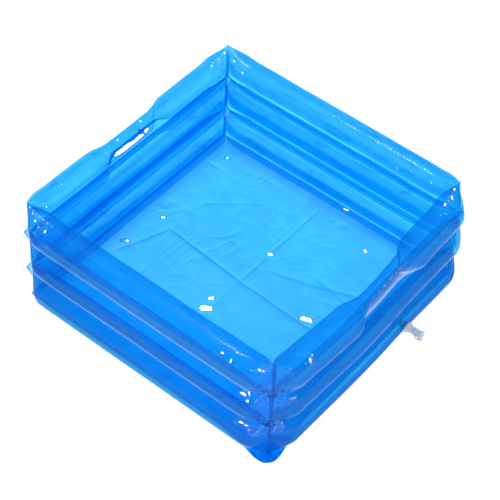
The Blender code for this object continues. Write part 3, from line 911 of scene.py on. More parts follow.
def tube_points(wall, level, offset, seed):
    """The grid of points of one tube in the front wall's own axes."""
    sizes = settings().wall
    extra, edge_row = (), None
    if offset is not None:
        half = settings().hold.slot_length / 2
        steps = half - np.array([0.0, 0.0003, 0.0008, 0.0015, 0.0024])
        extra = np.concatenate([offset - steps, offset + steps])
    along = wall_stations(extra)
    if offset is None:
        parts = np.tile(plain_parts(HALF_ROUND), (len(along), 1))
    else:
        parts, edge_row = hand_hold_parts(along, offset)
    count = parts.shape[1]
    base = sizes.tube_base + LEVELS.index(level) * sizes.level_pitch
    place = np.repeat(along[:, None], count, axis=1)
    full = tube_round(parts, level)
    height = base + parts * sizes.tube_height
    if offset is not None:
        held = held_share(place, offset)
        full = (1 - held) * full + held * grip_round(parts)
        height = height - held * settings().hold.dip * np.maximum(0, parts - SLOT_MIDDLE)
    taper = np.cos(end_share(place, sizes.taper_run) * math.pi / 2)
    reach = sizes.fold + np.maximum(0, full - sizes.fold) * taper ** 0.7
    seam = sizes.half_span - np.abs(place)
    inner_reach = np.minimum(reach, np.maximum(seam - 0.00008, sizes.fold))
    height = raised(place, height)
    outer = np.stack([place, -reach, height], axis=-1)
    inner = np.stack([place, inner_reach, height], axis=-1)[:, ::-1]
    points = np.concatenate([outer, inner], axis=1)
    normal = skin_normals(points)
    side = np.concatenate([np.full_like(parts, -1), np.full_like(parts, 1)], axis=1)
    around = np.concatenate([parts, parts[:, ::-1]], axis=1)
    steady = fade(sizes.half_span - np.abs(points[..., 0]), 0.0006, 0.004)
    thick = fade(np.abs(points[..., 1]), sizes.fold * 1.2, sizes.fold * 5)
    move, knots = tube_wrinkles(points[..., 0], around, side, wall, level, seed, offset)
    move = (move * thick + knots * thick + np.abs(knots) * (1 - thick)) * steady
    points = points + normal * move[..., None]
    seam = sizes.half_span - np.abs(points[..., 0])
    limit = seam - 0.00006
    depth = points[..., 1]
    points[..., 1] = np.where((side > 0) & (depth > limit) & (depth > sizes.fold),
                              np.maximum(limit, sizes.fold), depth)
    points[..., 2] = np.maximum(points[..., 2], sizes.tube_base)
    fields = film_fields(points[..., 0], around, side, wall, level, seed)
    fields["bunched"] = fields["bunched"] + 0.9 * fade(move, 0.0004, 0.0012) * (
        fade(seam, 0.030, 0.012))
    placed = np.ascontiguousarray(to_wall(points, wall))
    dark, gleam = add_crumples(placed, fields.pop("crumple") * fade(seam, 0.0004, 0.0020), seed)
    shine = add_sparks(placed, along, turn_round(around, side), SPARKS.get((wall, level), ()),
                       wall)
    fields["bunched"] = fields["bunched"] + dark
    fields["shine"] = np.maximum(fields["shine"] + gleam, shine)
    fields["ripple"] = fields["ripple"] * (1 - shine)
    return placed, along, count, edge_row, fields


def add_tube(wall, level, offset=None):
    """One air tube: a closed skin of film, with the slot cut out where there is one."""
    seed = 100 + 10 * WALLS.index(wall) + LEVELS.index(level)
    points, along, count, edge_row, fields = tube_points(wall, level, offset, seed)
    rows, columns = points.shape[:2]
    faces = grid_faces(rows, columns, True)
    ends = [(row * columns + step, row * columns + step + 1,
             row * columns + columns - 2 - step, row * columns + columns - 1 - step)
            for row in (0, rows - 1) for step in range(count - 1)]
    if offset is not None:
        inside = np.abs(along - offset) < settings().hold.slot_length / 2 + 1e-6
        first, last = np.flatnonzero(inside)[[0, -1]]
        low, high = edge_row, edge_row + 1
        cut = {(row, column) for row in range(first, last) for column in (low, columns - 2 - low)}
        faces = [face for index, face in enumerate(faces)
                 if (index // columns, index % columns) not in cut]
        for edge in (low, high):
            other = columns - 1 - edge
            faces += [(row * columns + edge, (row + 1) * columns + edge,
                       (row + 1) * columns + other, row * columns + other)
                      for row in range(first, last)]
        for row in (first, last):
            faces.append((row * columns + low, row * columns + high,
                          row * columns + columns - 1 - high, row * columns + columns - 1 - low))
    name = wall + "_" + level + "_tube"
    return link_piece(name + "_film", points.reshape(-1, 3), faces + ends, "tube_film",
                      nodes=(name,), fields=fields)


# How much more the welds of the near walls mirror.
WELD_SHINE = 3.0


def add_weld(wall, level):
    """The thin strip where the two skins are fused between two tubes."""
    sizes = settings().wall
    upper = LEVELS[LEVELS.index(level) + 1]
    seed = 300 + 10 * WALLS.index(wall) + LEVELS.index(level)
    along = wall_stations()
    top = sizes.tube_base + (LEVELS.index(level) + 1) * sizes.level_pitch
    bottom = top - sizes.level_pitch + sizes.tube_height
    parts = np.array([0.0, 0.12, 0.35, 0.65, 0.88, 1.0])
    wave = 0.00035 * hills(along / 0.012, 0.5, seed) + 0.0002 * hills(along / 0.004, 1.5, seed)
    half = np.array([sizes.fold, sizes.fold * 0.75, sizes.fold, sizes.fold, sizes.fold * 0.75,
                     sizes.fold])
    place = np.repeat(along[:, None], len(parts), axis=1)
    height = raised(place, bottom + parts[None, :] * (top - bottom))
    bulge = np.sin(parts * math.pi)[None, :] * wave[:, None]
    outer = np.stack([place, bulge - half[None, :], height], axis=-1)
    inner = np.stack([place, bulge + half[None, :], height], axis=-1)[:, ::-1]
    points = np.concatenate([outer, inner], axis=1)
    rows, columns = points.shape[:2]
    faces = capped_faces(rows, columns)
    name = "%s_%s_%s_weld" % (wall, level, upper)
    placed = to_wall(points, wall).reshape(-1, 3)
    pale = WELD_SHINE if wall in ("front", "right") else 0.0
    calm = np.repeat(fade(sizes.half_span - np.abs(along), 0.008, 0.030), columns)
    fields = {"shine": pale * calm, "matt": pale / 6 * calm}
    return link_piece(name + "_strip", placed, faces, "weld_film",
                      nodes=(name,), smooth=40, fields=fields)


def add_slot_rim(wall, offset):
    """The fused edge round the slot, a flat bead that follows the film."""
    sizes, hold = settings().wall, settings().hold
    base = sizes.tube_base + LEVELS.index("upper") * sizes.level_pitch
    middle = base + SLOT_MIDDLE * sizes.tube_height
    half = hold.slot_length / 2
    turn = np.linspace(0, 2 * math.pi, 121)[:-1]
    across = half * np.sign(np.cos(turn)) * np.abs(np.cos(turn)) ** 0.75
    rise = np.sign(np.sin(turn)) * slot_half_height(across)
    rise = np.where(rise > 0, rise - slot_sag(across), rise)
    rise = np.where(np.abs(across) > half - 1e-6, 0, rise)
    centre = np.stack([across, rise], axis=-1)
    tangent = np.roll(centre, -1, axis=0) - np.roll(centre, 1, axis=0)
    tangent /= np.linalg.norm(tangent, axis=1, keepdims=True)
    outwards = np.stack([tangent[:, 1], -tangent[:, 0]], axis=-1)
    if (outwards * centre).sum() < 0:
        outwards = -outwards
    ring = []
    profile = [(-0.0001, -0.0004), (0.0006, -0.0007), (0.0014, -0.0006), (0.0018, -0.0002),
               (0.0018, 0.0002), (0.0014, 0.0006), (0.0006, 0.0007), (-0.0001, 0.0004)]
    wave = 0.0003 * np.sin(turn * 23) + 0.0002 * np.sin(turn * 41 + 1)
    for out, deep in profile:
        flat = centre + outwards * out * (hold.rim_width / 0.0018)
        height = middle + flat[:, 1]
        held = held_share(flat[:, 0] + offset, offset)
        above = (height - base) / sizes.tube_height - SLOT_MIDDLE
        height = height - held * hold.dip * np.maximum(0, above)
        ring.append(np.stack([offset + flat[:, 0], deep + wave * abs(out) / 0.0018, height], -1))
    points = np.stack(ring, axis=1)
    rows, columns = points.shape[:2]
    faces = [tuple(index % (rows * columns) for index in face)
             for face in grid_faces(rows + 1, columns, True)]
    placed = to_wall(points, wall).reshape(-1, 3)
    return link_piece(wall + "_hand_hold_bead", placed, faces, "weld_film",
                      nodes=(wall + "_hand_hold_rim",))


# ---------------------------------------------------------------- corners and floor

# Ears of spare film on each corner seam at its two welds: reach and droop.
EARS = {"front_right": ((0.0022, 0.0), (0.0026, 0.0)),
        "back_right": ((0.0034, 0.002), (0.0040, 0.001)),
        "back_left": ((0.0045, 0.0), (0.0045, 0.0)),
        "front_left": ((0.0075, 0.005), (0.0062, -0.002))}

# How far a corner's tip stands over the tubes.
TIP_RISE = 0.0028


def add_corner_seam(name, index):
    """The welded band up a corner, with its tip and the ears of spare film at the welds."""
    sizes = settings().wall
    end = sizes.half_span - sizes.end_clearance
    top = sizes.tube_base + 2 * sizes.level_pitch + sizes.tube_height
    peak = float(raised(end, top))
    tip = peak + TIP_RISE
    levels = np.linspace(sizes.tube_base, tip, 170)
    half = 0.0017 * np.clip((tip - levels) / 0.012, 0.03, 1) ** 0.8
    out = 0.0005 * fade(levels, 0.0, 0.004) * fade(levels, tip, tip - 0.010)
    fin = np.full_like(levels, 0.0002)
    for step, (reach, droop) in zip((1, 2), EARS[name]):
        weld = float(raised(end, sizes.tube_base + step * sizes.level_pitch - 0.0015)) - droop
        above = np.clip(1 - (levels - weld) / 0.012, 0, 1) ** 1.5
        below = np.clip(1 - (weld - levels) / 0.022, 0, 1) ** 1.9
        fin = np.maximum(fin, reach * np.where(levels > weld, above, below))
        half = half * (1 - 0.35 * np.exp(-((levels - weld) / 0.004) ** 2))
    sway = 0.0004 * hills(levels / 0.008, index * 3.0, 51) * fade(levels, 0.0, 0.01)
    sway = sway * fade(levels, tip, tip - 0.012)
    ruffle = 0.0006 * np.sin(levels * 900 + index) + 0.0004 * np.sin(levels * 410 + 2 * index)
    fin_sway = sway * 1.6 + ruffle * np.clip(fin / 0.0048, 0, 1)
    thin = 0.0002 * np.clip((tip - levels) / 0.004, 0.1, 1)
    flat_back = -0.0003 * np.ones_like(half)
    plan = [(-half, flat_back), (-half, out * 0.5), (-half * 0.45, out + 0.0001),
            (-thin + sway, out + 0.0002), (-thin * 0.7 + fin_sway, out + fin),
            (thin * 0.7 + fin_sway, out + fin), (thin + sway, out + 0.0002),
            (half * 0.45, out + 0.0001), (half, out * 0.5), (half, flat_back)]
    turn = index * math.pi / 2 - math.pi / 4
    forward = np.array([math.cos(turn), math.sin(turn)])
    sideways = np.array([-forward[1], forward[0]])
    middle = forward * sizes.half_span * math.sqrt(2)
    rings = []
    for across, outwards in plan:
        flat = middle + sideways * across[:, None] + forward * outwards[:, None]
        rings.append(np.concatenate([flat, levels[:, None]], axis=1))
    points = leaned(np.stack(rings, axis=1))
    rows, columns = points.shape[:2]
    faces = capped_faces(rows, columns)
    return link_piece(name + "_corner_seam", points.reshape(-1, 3), faces, "seam_film",
                      nodes=(name + "_corner_sleeve",), smooth=50,
                      fields={"bunched": np.tile([0.0, 0.5, -0.5, 0.0, 0.9, 0.9, 0.0, -0.5, 0.5,
                                                  0.0], rows)})


def fold_line(x, y, start, end, width, wobble, seed):
    """A crease, 1 high, from start to end across the floor sheet, that dies out at its ends."""
    run = np.array(end) - np.array(start)
    size = math.hypot(*run)
    run = run / size
    along = (x - start[0]) * run[0] + (y - start[1]) * run[1]
    across = -(x - start[0]) * run[1] + (y - start[1]) * run[0]
    across = across + wobble * hills(along / 0.030, 0.5, seed)
    ends = fade(along, -0.012, 0.015) * fade(along, size + 0.012, size - 0.015)
    return ends / (1 + (across / width) ** 2)


# Creases in the floor sheet: start, end, width and share of the folds' depth.
FLOOR_CREASES = (
    ((-0.118, 0.007), (-0.003, -0.004), 0.0016, 0.75),
    ((-0.003, -0.004), (0.135, -0.006), 0.0016, 0.60),
    ((-0.004, -0.003), (-0.003, 0.145), 0.0011, 0.50),
    ((-0.145, -0.062), (-0.117, 0.007), 0.0016, 0.50),
    ((-0.004, -0.140), (-0.004, -0.010), 0.0012, 0.22),
    ((0.010, 0.030), (0.140, 0.075), 0.0030, 0.35),
    ((0.055, 0.060), (0.145, 0.045), 0.0028, 0.35),
    ((-0.050, -0.075), (0.060, -0.120), 0.0022, 0.20),
    ((-0.120, 0.060), (-0.060, 0.110), 0.0016, 0.20),
)

# Small facets of the floor sheet that lie towards the camera and the lamp: place, half width,
# depth.
FLOOR_FACETS = ((-0.0085, -0.0575, 0.0070, 0.0062), (-0.013, -0.0435, 0.0030, 0.0040),
                (0.0885, 0.0045, 0.0065, 0.0050), (-0.0035, 0.053, 0.0030, 0.0030),
                (0.0775, 0.132, 0.0028, 0.0028), (-0.137, 0.015, 0.0026, 0.0026),
                (-0.147, -0.042, 0.0050, 0.0045), (-0.143, 0.143, 0.0034, 0.0034))


def floor_heights(x, y):
    """Height of the floor sheet, how much darker it is drawn, and how much it shines.

    It lies in the creases that it was packed with, and in soft, low wrinkles.
    """
    depth = settings().wrinkle.floor_depth
    swirl_x = x + 0.016 * hills(x / 0.06, y / 0.06, 61)
    swirl_y = y + 0.016 * hills(x / 0.06, y / 0.06, 62)
    soft = 0.5 + 0.5 * hills(swirl_x / 0.070, swirl_y / 0.070, 63)
    near_middle = np.exp(-((x + 0.05) / 0.080) ** 2 - ((y - 0.04) / 0.090) ** 2)
    lively = fade(hills(x / 0.030, y / 0.030, 71), -0.2, 0.4)
    fine = np.clip(ridged(hills(swirl_x / 0.011, swirl_y / 0.026, 64)), 0, 1) ** 3
    calm = fade(hills(x / 0.045, y / 0.045, 72), 0.5, -0.2)
    crisp = np.clip(ridged(hills(swirl_x / 0.036 + 5, swirl_y / 0.014, 65)), 0, 1) ** 5
    height = depth * (0.75 * soft + (0.05 + 0.30 * near_middle) * fine * lively
                      + 0.13 * crisp * calm)
    bunched = 0.05 * (soft - 0.5)
    for number, (start, end, width, share_of_depth) in enumerate(FLOOR_CREASES):
        crease = fold_line(x, y, start, end, width, 0.0018, 70 + number)
        height = height + depth * share_of_depth * 0.8 * crease
        bunched = bunched + share_of_depth * 0.45 * crease ** 2
    shiny = 0.25 * fade(hills(x / 0.05, y / 0.05, 73), 0.0, 0.6)
    for place_x, place_y, wide, deep in FLOOR_FACETS:
        away_x, away_y = x - place_x, y - place_y
        facing = glint((place_x, place_y, 0.001), TOP_LAMP)
        steep = math.hypot(facing[0], facing[1])
        run_x, run_y = facing[0] / steep, facing[1] / steep
        down = away_x * run_x + away_y * run_y
        level = -away_x * run_y + away_y * run_x
        level = level + 0.0015 * hills(away_x / 0.006, away_y / 0.006, 75)
        window = fade(np.abs(level), wide * 1.3, wide * 0.9) * fade(down, -0.0035, -0.0010)
        plane = np.maximum(steep / facing[2] * (deep - down), 0)
        height = height * (1 - window * fade(down, deep + 0.003, deep)) + plane * window
        shiny = shiny + 1.3 * window * fade(down, deep, deep * 0.8)
    half = settings().wall.half_span - settings().wall.tube_thickness / 2
    edge = half - np.maximum(np.abs(x), np.abs(y))
    along_edge = np.where(np.abs(x) > np.abs(y), y, x)
    ruffle = np.clip(np.sin(2 * math.pi * along_edge / 0.017
                            + 6 * hills(along_edge / 0.025, 2.0, 66)), 0, 1)
    ruffle = 0.0008 * ruffle * fade(hills(along_edge / 0.030, 5.0, 67), -0.1, 0.6)
    height = height + ruffle * np.exp(-((edge - 0.004) / 0.006) ** 2)
    # Drawn darker under the feet of the tubes, towards the right, and round the front right
    # corner.
    bunched = bunched + 0.2 * fade(edge, 0.004, -0.010) + 0.12 * fade(x, 0.02, 0.14)
    bunched = bunched + 0.30 * np.exp(-(np.hypot(x - 0.15, y + 0.15) / 0.080) ** 2)
    return height * fade(edge, -0.012, 0.010), bunched, shiny


def add_floor():
    """The film floor, a thin sheet that lies in soft folds."""
    sizes = settings().wall
    half = sizes.half_span + 0.0034
    line = np.linspace(-half, half, 260)
    x, y = np.meshgrid(line, line, indexing="ij")
    radius = np.where((x > 0) & (y < 0), 0.022, 0.004)
    limit = half - radius
    over_x, over_y = np.maximum(np.abs(x) - limit, 0), np.maximum(np.abs(y) - limit, 0)
    both = np.maximum(np.hypot(over_x, over_y), 1e-9)
    shrink = np.maximum(over_x, over_y) / both
    x = np.sign(x) * (np.minimum(np.abs(x), limit) + over_x * shrink)
    y = np.sign(y) * (np.minimum(np.abs(y), limit) + over_y * shrink)
    pull = np.exp(-(np.hypot(x - half, y + half) / 0.036) ** 2)
    x, y = x + 0.0110 * pull, y - 0.0125 * pull
    out = fade(np.hypot(x, y), 0.225, 0.240) * pull
    crimp = 0.0022 * out * (0.5 + 0.5 * hills((x + y) / 0.005, (x - y) / 0.012, 68))
    height, bunched, shiny = floor_heights(x, y)
    low = 0.00005 + height + crimp
    # Painted shade and light on the floor's folds: slopes that rise towards the back left, where
    # the top lamp stands, are drawn darker, and slopes that fall that way lighter.
    slope_x, slope_y = np.gradient(height, line[1] - line[0])
    bunched = bunched + np.clip(2.6 * (0.8 * slope_y - 0.6 * slope_x), -0.2, 0.3)
    bunched = bunched + out * (0.7 + 0.5 * hills((x + y) / 0.003, (x - y) / 0.010, 69))
    thickness = 0.00035
    upper = np.stack([x, y, low + thickness], axis=-1).reshape(-1, 3)
    lower = np.stack([x, y, low], axis=-1).reshape(-1, 3)
    count = len(line)
    above = grid_faces(count, count, False)
    below = [tuple(index + count * count for index in reversed(face)) for face in above]
    border = (list(range(count))
              + [count * step + count - 1 for step in range(1, count)]
              + [count * (count - 1) + step for step in range(count - 2, -1, -1)]
              + [count * step for step in range(count - 2, 0, -1)])
    rim = [(border[step], border[(step + 1) % len(border)],
            border[(step + 1) % len(border)] + count * count, border[step] + count * count)
           for step in range(len(border))]
    return link_piece("floor_film", np.concatenate([upper, lower]), above + below + rim,
                      "sheet_film", nodes=("floor_sheet",), smooth=60,
                      fields={"bunched": np.stack([bunched, bunched]),
                              "shine": np.stack([shiny, shiny])})


# ---------------------------------------------------------------- valve

def turned(name, profile, body, nodes, steps=56):
    """Turn a closed or axis-to-axis profile of (distance along the valve, radius)."""
    valve, wall = settings().valve, settings().wall
    verts, rings = [], []
    for reach, radius in profile:
        if radius < 1e-6:
            rings.append([len(verts)])
            verts.append((wall.half_span + reach, valve.offset, valve.height))
            continue
        rings.append(list(range(len(verts), len(verts) + steps)))
        for step in range(steps):
            turn = 2 * math.pi * step / steps
            verts.append((wall.half_span + reach, valve.offset + radius * math.cos(turn),
                          valve.height + radius * math.sin(turn)))
    pairs = list(zip(rings, rings[1:]))
    if len(rings[0]) > 1 and len(rings[-1]) > 1:
        pairs.append((rings[-1], rings[0]))
    faces = []
    for near, far in pairs:
        for step in range(steps):
            after = (step + 1) % steps
            corners = [near[step % len(near)], near[after % len(near)],
                       far[after % len(far)], far[step % len(far)]]
            faces.append(tuple(dict.fromkeys(corners)))
    return link_piece(name, verts, faces, "clear_vinyl", body=body,
                      nodes=nodes, smooth=35)


def rounded(points, radius, steps=4):
    """A profile with each of its inner corners rounded."""
    result = [points[0]]
    for before, corner, after in zip(points, points[1:], points[2:]):
        corner_at = Vector(corner)
        back, on = Vector(before) - corner_at, Vector(after) - corner_at
        cut = min(radius, back.length * 0.45, on.length * 0.45)
        start, end = corner_at + back.normalized() * cut, corner_at + on.normalized() * cut
        for step in range(steps + 1):
            part = step / steps
            point = start.lerp(corner_at, part).lerp(corner_at.lerp(end, part), part)
            result.append((point.x, point.y))
    return result + [points[-1]]


def add_valve_body():
    """The moulded valve: flange and snout in the tube, skirt, neck and lip outside it."""
    valve = settings().valve
    face, skirt_top = valve.face, valve.face + 0.0050
    neck_top = valve.face + valve.neck_length
    lip_top = neck_top + valve.lip_length
    flange = valve.face - 0.0049
    outline = [
        (flange - 0.0060, valve.bore_radius + 0.0006), (lip_top - 0.0010, valve.bore_radius),
        (lip_top, valve.bore_radius + 0.0006), (lip_top, valve.lip_radius),
        (neck_top, valve.lip_radius), (neck_top - 0.0006, valve.neck_radius),
        (face + 0.0125, valve.neck_radius), (face + 0.0118, valve.neck_radius + 0.0005),
        (face + 0.0108, valve.neck_radius + 0.0005), (face + 0.0101, valve.neck_radius),
        (skirt_top + 0.0010, valve.neck_radius * 1.03), (face + 0.0022, valve.skirt_radius * 0.90),
        (face + 0.0008, valve.skirt_radius), (face, valve.skirt_radius),
        (face, valve.stem_radius), (flange + 0.0008, valve.stem_radius),
        (flange + 0.0008, 0.0062), (flange, 0.0062), (flange, 0.0040),
        (flange - 0.0060, 0.0036),
    ]
    turned("valve_moulding", rounded(outline, 0.0006), TUB, ("valve_body",))


def add_valve_stopper():
    """The stopper: a disc head with a raised rim, and its tapered plug."""
    valve = settings().valve
    mouth = valve.face + valve.neck_length + valve.lip_length
    head = mouth + 0.0003
    outline = [
        (mouth - 0.0070, 0.0), (mouth - 0.0070, 0.0012), (mouth - 0.0064, 0.0018),
        (mouth - 0.0034, 0.0022), (mouth - 0.0030, 0.0020), (mouth - 0.0010, 0.0022),
        (head, 0.0022), (head, valve.stopper_radius), (head + 0.0012, valve.stopper_radius),
        (head + 0.0019, valve.stopper_radius * 0.88), (head + 0.0019, valve.stopper_radius * 0.66),
        (head + 0.0013, valve.stopper_radius * 0.58), (head + 0.0013, 0.0),
    ]
    turned("stopper_moulding", rounded(outline, 0.0005), "stopper", ("valve_stopper",))


def add_valve_flap():
    """The check flap over the snout's inner end, which hangs from a tab at its top."""
    valve = settings().valve
    low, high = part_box("valve_flap")
    radius, tab = 0.0034, 0.0011
    middle = low.z + radius
    turns = np.linspace(math.radians(108.9), math.radians(431.1), 49)
    outline = [(radius * math.cos(turn), radius * math.sin(turn)) for turn in turns]
    outline = outline + [(tab, high.z - middle - 0.0002), (tab * 0.8, high.z - middle),
                         (-tab * 0.8, high.z - middle), (-tab, high.z - middle - 0.0002)]
    layers = [(low.x, 0.94), (low.x + 0.0001, 1.0), (high.x - 0.0001, 1.0), (high.x, 0.94)]
    verts = [(x, valve.offset + across * size, middle + up * size)
             for x, size in layers for across, up in outline]
    faces = capped_faces(len(layers), len(outline))
    link_piece("check_flap_moulding", verts, faces, "clear_vinyl", body="check_flap",
               nodes=("valve_flap",), smooth=40)


def add_valve_strap():
    """The strap that keeps the stopper: a loop that hangs from the neck to the head."""
    valve, wall = settings().valve, settings().wall
    face = wall.half_span + valve.face
    head = face + valve.neck_length + valve.lip_length + 0.0013
    near = valve.height - valve.neck_radius - 0.0004
    far = valve.height - valve.stopper_radius - 0.0004
    anchors = np.array([
        (face + 0.0062, near), (face + 0.0085, near), (face + 0.0101, near - 0.0022),
        (face + 0.0122, near - 0.0052), (face + 0.0150, near - 0.0058),
        (head - 0.0008, near - 0.0048), (head + 0.0006, far - 0.0018), (head, far),
    ])
    steps = np.linspace(0, len(anchors) - 1, 60)
    index = np.minimum(steps.astype(int), len(anchors) - 2)
    part = (steps - index)[:, None]
    before, start = anchors[np.maximum(index - 1, 0)], anchors[index]
    end, after = anchors[index + 1], anchors[np.minimum(index + 2, len(anchors) - 1)]
    course = 0.5 * (2 * start + (end - before) * part
                    + (2 * before - 5 * start + 4 * end - after) * part ** 2
                    + (3 * start - before - 3 * end + after) * part ** 3)
    tangent = np.gradient(course, axis=0)
    tangent /= np.linalg.norm(tangent, axis=1, keepdims=True)
    normal = np.stack([-tangent[:, 1], tangent[:, 0]], axis=-1)
    along = np.linspace(0, 1, len(course))
    half_width = 0.0010 + 0.0006 * (np.exp(-(along / 0.12) ** 2)
                                    + np.exp(-((1 - along) / 0.12) ** 2))
    profile = [(-1.0, -0.15), (-0.8, -0.4), (0.8, -0.4), (1.0, -0.15),
               (1.0, 0.15), (0.8, 0.4), (-0.8, 0.4), (-1.0, 0.15)]
    rings = []
    for across, thick in profile:
        flat = course + normal * thick * 0.0009
        rings.append(np.stack([flat[:, 0], valve.offset + across * half_width, flat[:, 1]], -1))
    points = np.stack(rings, axis=1)
    rows, columns = points.shape[:2]
    faces = capped_faces(rows, columns)
    piece = link_piece("strap_moulding", points.reshape(-1, 3), faces, "clear_vinyl", body=None,
                       nodes=("valve_strap",), smooth=60)
    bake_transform(piece)


# ---------------------------------------------------------------- stage

def add_camera():
    stage = settings().stage
    data = bpy.data.cameras.new("camera")
    data.sensor_width = 36.0
    data.lens = stage.focal
    back = camera_back()
    right = Vector((math.cos(stage.azimuth), math.sin(stage.azimuth), 0))
    up = back.cross(right)
    tilted_right = right * math.cos(stage.roll) + up * math.sin(stage.roll)
    tilted_up = up * math.cos(stage.roll) - right * math.sin(stage.roll)
    camera = bpy.data.objects.new("camera", data)
    turn = Matrix((tilted_right, tilted_up, back)).transposed().to_4x4()
    camera.matrix_world = Matrix.Translation(Vector(stage.target) + back * stage.distance) @ turn
    bpy.context.scene.collection.objects.link(camera)
    bpy.context.scene.camera = camera


def add_lamp(name, place, aim, size, power, spread):
    data = bpy.data.lights.new(name, "AREA")
    data.spread = math.radians(spread)
    data.shape = "SQUARE"
    data.size = size
    data.energy = power
    lamp = bpy.data.objects.new(name, data)
    look = (Vector(aim) - Vector(place)).to_track_quat("-Z", "Y")
    lamp.matrix_world = Matrix.Translation(place) @ look.to_matrix().to_4x4()
    bpy.context.scene.collection.objects.link(lamp)


def add_ground():
    stage = settings().stage
    build = bmesh.new()
    bmesh.ops.create_circle(build, cap_ends=True, segments=96, radius=9.0)
    mesh = bpy.data.meshes.new("ground")
    build.to_mesh(mesh)
    build.free()
    material, bench = new_material("ground_paper")
    grain = bench.noise(35.0, 3.0, 0.5)
    tone = bench.mix_colour(bench.ramp(grain, (0.3, 0.0), (0.7, 1.0)), opaque(stage.floor),
                            opaque([part * 0.995 for part in stage.floor]))
    paper = bench.add("ShaderNodeBsdfDiffuse", None, {"Color": tone, "Roughness": 0.2})
    glow = bench.add("ShaderNodeEmission", None, {"Color": WHITE, "Strength": 0.78})
    dark = bench.add("ShaderNodeEmission", None, {"Color": (0.0, 0.0, 0.0, 1.0),
                                                  "Strength": 0.0})
    glossy, through = (bench.add("ShaderNodeLightPath", out=ray + " Ray")
                       for ray in ("Is Glossy", "Is Transmission"))
    seen = bench.add("ShaderNodeLightPath", out="Is Camera Ray").most(through).most(glossy)
    lift = bench.mix(seen, dark, glow)
    bench.finish(bench.add("ShaderNodeAddShader", None, {0: paper, 1: lift}))
    mesh.materials.append(material)
    ground = bpy.data.objects.new("ground", mesh)
    bpy.context.scene.collection.objects.link(ground)


def add_sky():
    """A white backdrop to the camera; to all else a dim room, paler right overhead."""
    world = bpy.data.worlds.new("studio")
    bpy.context.scene.world = world
    world.use_nodes = True
    bench = Bench(world.node_tree)
    split = bench.add("ShaderNodeSeparateXYZ", None,
                      {0: bench.add("ShaderNodeTexCoord", out=0)}, out=2)
    room = bench.ramp(split, (0.0, 0.10), (0.15, 0.06), (0.25, 0.04), (0.78, 0.04),
                      (0.90, 0.55), (1.0, 0.65))
    seen = bench.add("ShaderNodeLightPath", out="Is Camera Ray")
    seen = seen.most(bench.add("ShaderNodeLightPath", out="Is Transmission Ray"))
    light = bench.add("ShaderNodeBackground", None, {"Color": room, "Strength": 1.0})
    white = bench.add("ShaderNodeBackground", None, {"Color": WHITE, "Strength": 1.0})
    bench.finish(bench.mix(seen, light, white), "ShaderNodeOutputWorld")


# ---------------------------------------------------------------- operators

class FOOTBATH_OT_stage(bpy.types.Operator):
    """Add the camera, the lamps, the ground and the sky"""
    bl_idname = "foot_bath.stage"
    bl_label = "Stage"

    def execute(self, context):
        scene = context.scene
        scene.view_settings.view_transform = "Standard"
        scene.cycles.transparent_max_bounces = 64
        scene.cycles.max_bounces = 12
        add_camera()
        add_ground()
        add_sky()
        add_lamp("top_softbox", TOP_LAMP, LAMP_AIM, 0.42, 4.2, 75.0)
        add_lamp("front_softbox", FRONT_LAMP, LAMP_AIM, 0.22, 1.1, 40.0)
        add_lamp("side_softbox", SIDE_LAMP, LAMP_AIM, 0.22, 0.9, 40.0)
        return {"FINISHED"}


class FOOTBATH_OT_floor(bpy.types.Operator):
    """Add the film floor"""
    bl_idname = "foot_bath.floor"
    bl_label = "Floor sheet"

    def execute(self, context):
        add_floor()
        return {"FINISHED"}


class FOOTBATH_OT_tubes(bpy.types.Operator):
    """Add the twelve air tubes, with the slots in the left and right ones"""
    bl_idname = "foot_bath.tubes"
    bl_label = "Air tubes"

    def execute(self, context):
        hold = settings().hold
        offsets = {"left": hold.left_offset, "right": hold.right_offset}
        for wall in WALLS:
            for level in LEVELS:
                add_tube(wall, level, offsets.get(wall) if level == "upper" else None)
        return {"FINISHED"}


class FOOTBATH_OT_welds(bpy.types.Operator):
    """Add the weld strips between the tubes"""
    bl_idname = "foot_bath.welds"
    bl_label = "Welds"

    def execute(self, context):
        for wall in WALLS:
            for level in LEVELS[:-1]:
                add_weld(wall, level)
        return {"FINISHED"}


class FOOTBATH_OT_corners(bpy.types.Operator):
    """Add the corner seams with their tips and ears"""
    bl_idname = "foot_bath.corners"
    bl_label = "Corner seams"

    def execute(self, context):
        for name, index in CORNERS.items():
            add_corner_seam(name, index)
        return {"FINISHED"}


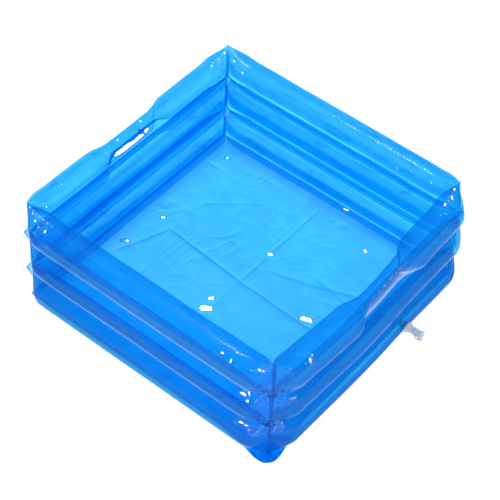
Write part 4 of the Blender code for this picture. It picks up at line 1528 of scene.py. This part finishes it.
class FOOTBATH_OT_hand_holds(bpy.types.Operator):
    """Add the fused rims of the hand-hold slots"""
    bl_idname = "foot_bath.hand_holds"
    bl_label = "Hand-hold rims"

    def execute(self, context):
        hold = settings().hold
        add_slot_rim("left", hold.left_offset)
        add_slot_rim("right", hold.right_offset)
        return {"FINISHED"}


class FOOTBATH_OT_valve(bpy.types.Operator):
    """Add the valve, its check flap, its stopper and its strap"""
    bl_idname = "foot_bath.valve"
    bl_label = "Valve"

    def execute(self, context):
        add_valve_body()
        add_valve_stopper()
        add_valve_flap()
        add_valve_strap()
        return {"FINISHED"}


OPERATORS = (FOOTBATH_OT_stage, FOOTBATH_OT_floor, FOOTBATH_OT_tubes, FOOTBATH_OT_welds,
             FOOTBATH_OT_corners, FOOTBATH_OT_hand_holds, FOOTBATH_OT_valve)


class FOOTBATH_PT_pieces(bpy.types.Panel):
    """The pieces of the foot bath, in the order in which they are added"""
    bl_label = "Foot bath"
    bl_idname = "FOOTBATH_PT_pieces"
    bl_space_type = "VIEW_3D"
    bl_region_type = "UI"
    bl_category = "Foot bath"

    def draw(self, context):
        for operator in OPERATORS:
            self.layout.operator(operator.bl_idname)
        groups = context.scene.foot_bath
        for group in (groups.wall, groups.wrinkle, groups.hold, groups.valve, groups.look,
                      groups.stage):
            box = self.layout.box()
            for key in group.__annotations__:
                box.prop(group, key)


CLASSES = (WallSizes, WrinkleSizes, HandHoldSizes, ValveSizes, FilmLook, StageLook,
           FootBath) + OPERATORS + (FOOTBATH_PT_pieces,)


def register():
    for kind in CLASSES:
        bpy.utils.register_class(kind)
    bpy.types.Scene.foot_bath = PointerProperty(type=FootBath)


def unregister():
    del bpy.types.Scene.foot_bath
    for kind in reversed(CLASSES):
        bpy.utils.unregister_class(kind)


def main():
    register()
    bpy.ops.foot_bath.stage()
    bpy.ops.foot_bath.floor()
    bpy.ops.foot_bath.tubes()
    bpy.ops.foot_bath.welds()
    bpy.ops.foot_bath.corners()
    bpy.ops.foot_bath.hand_holds()
    bpy.ops.foot_bath.valve()


if __name__ == "__main__":
    main()
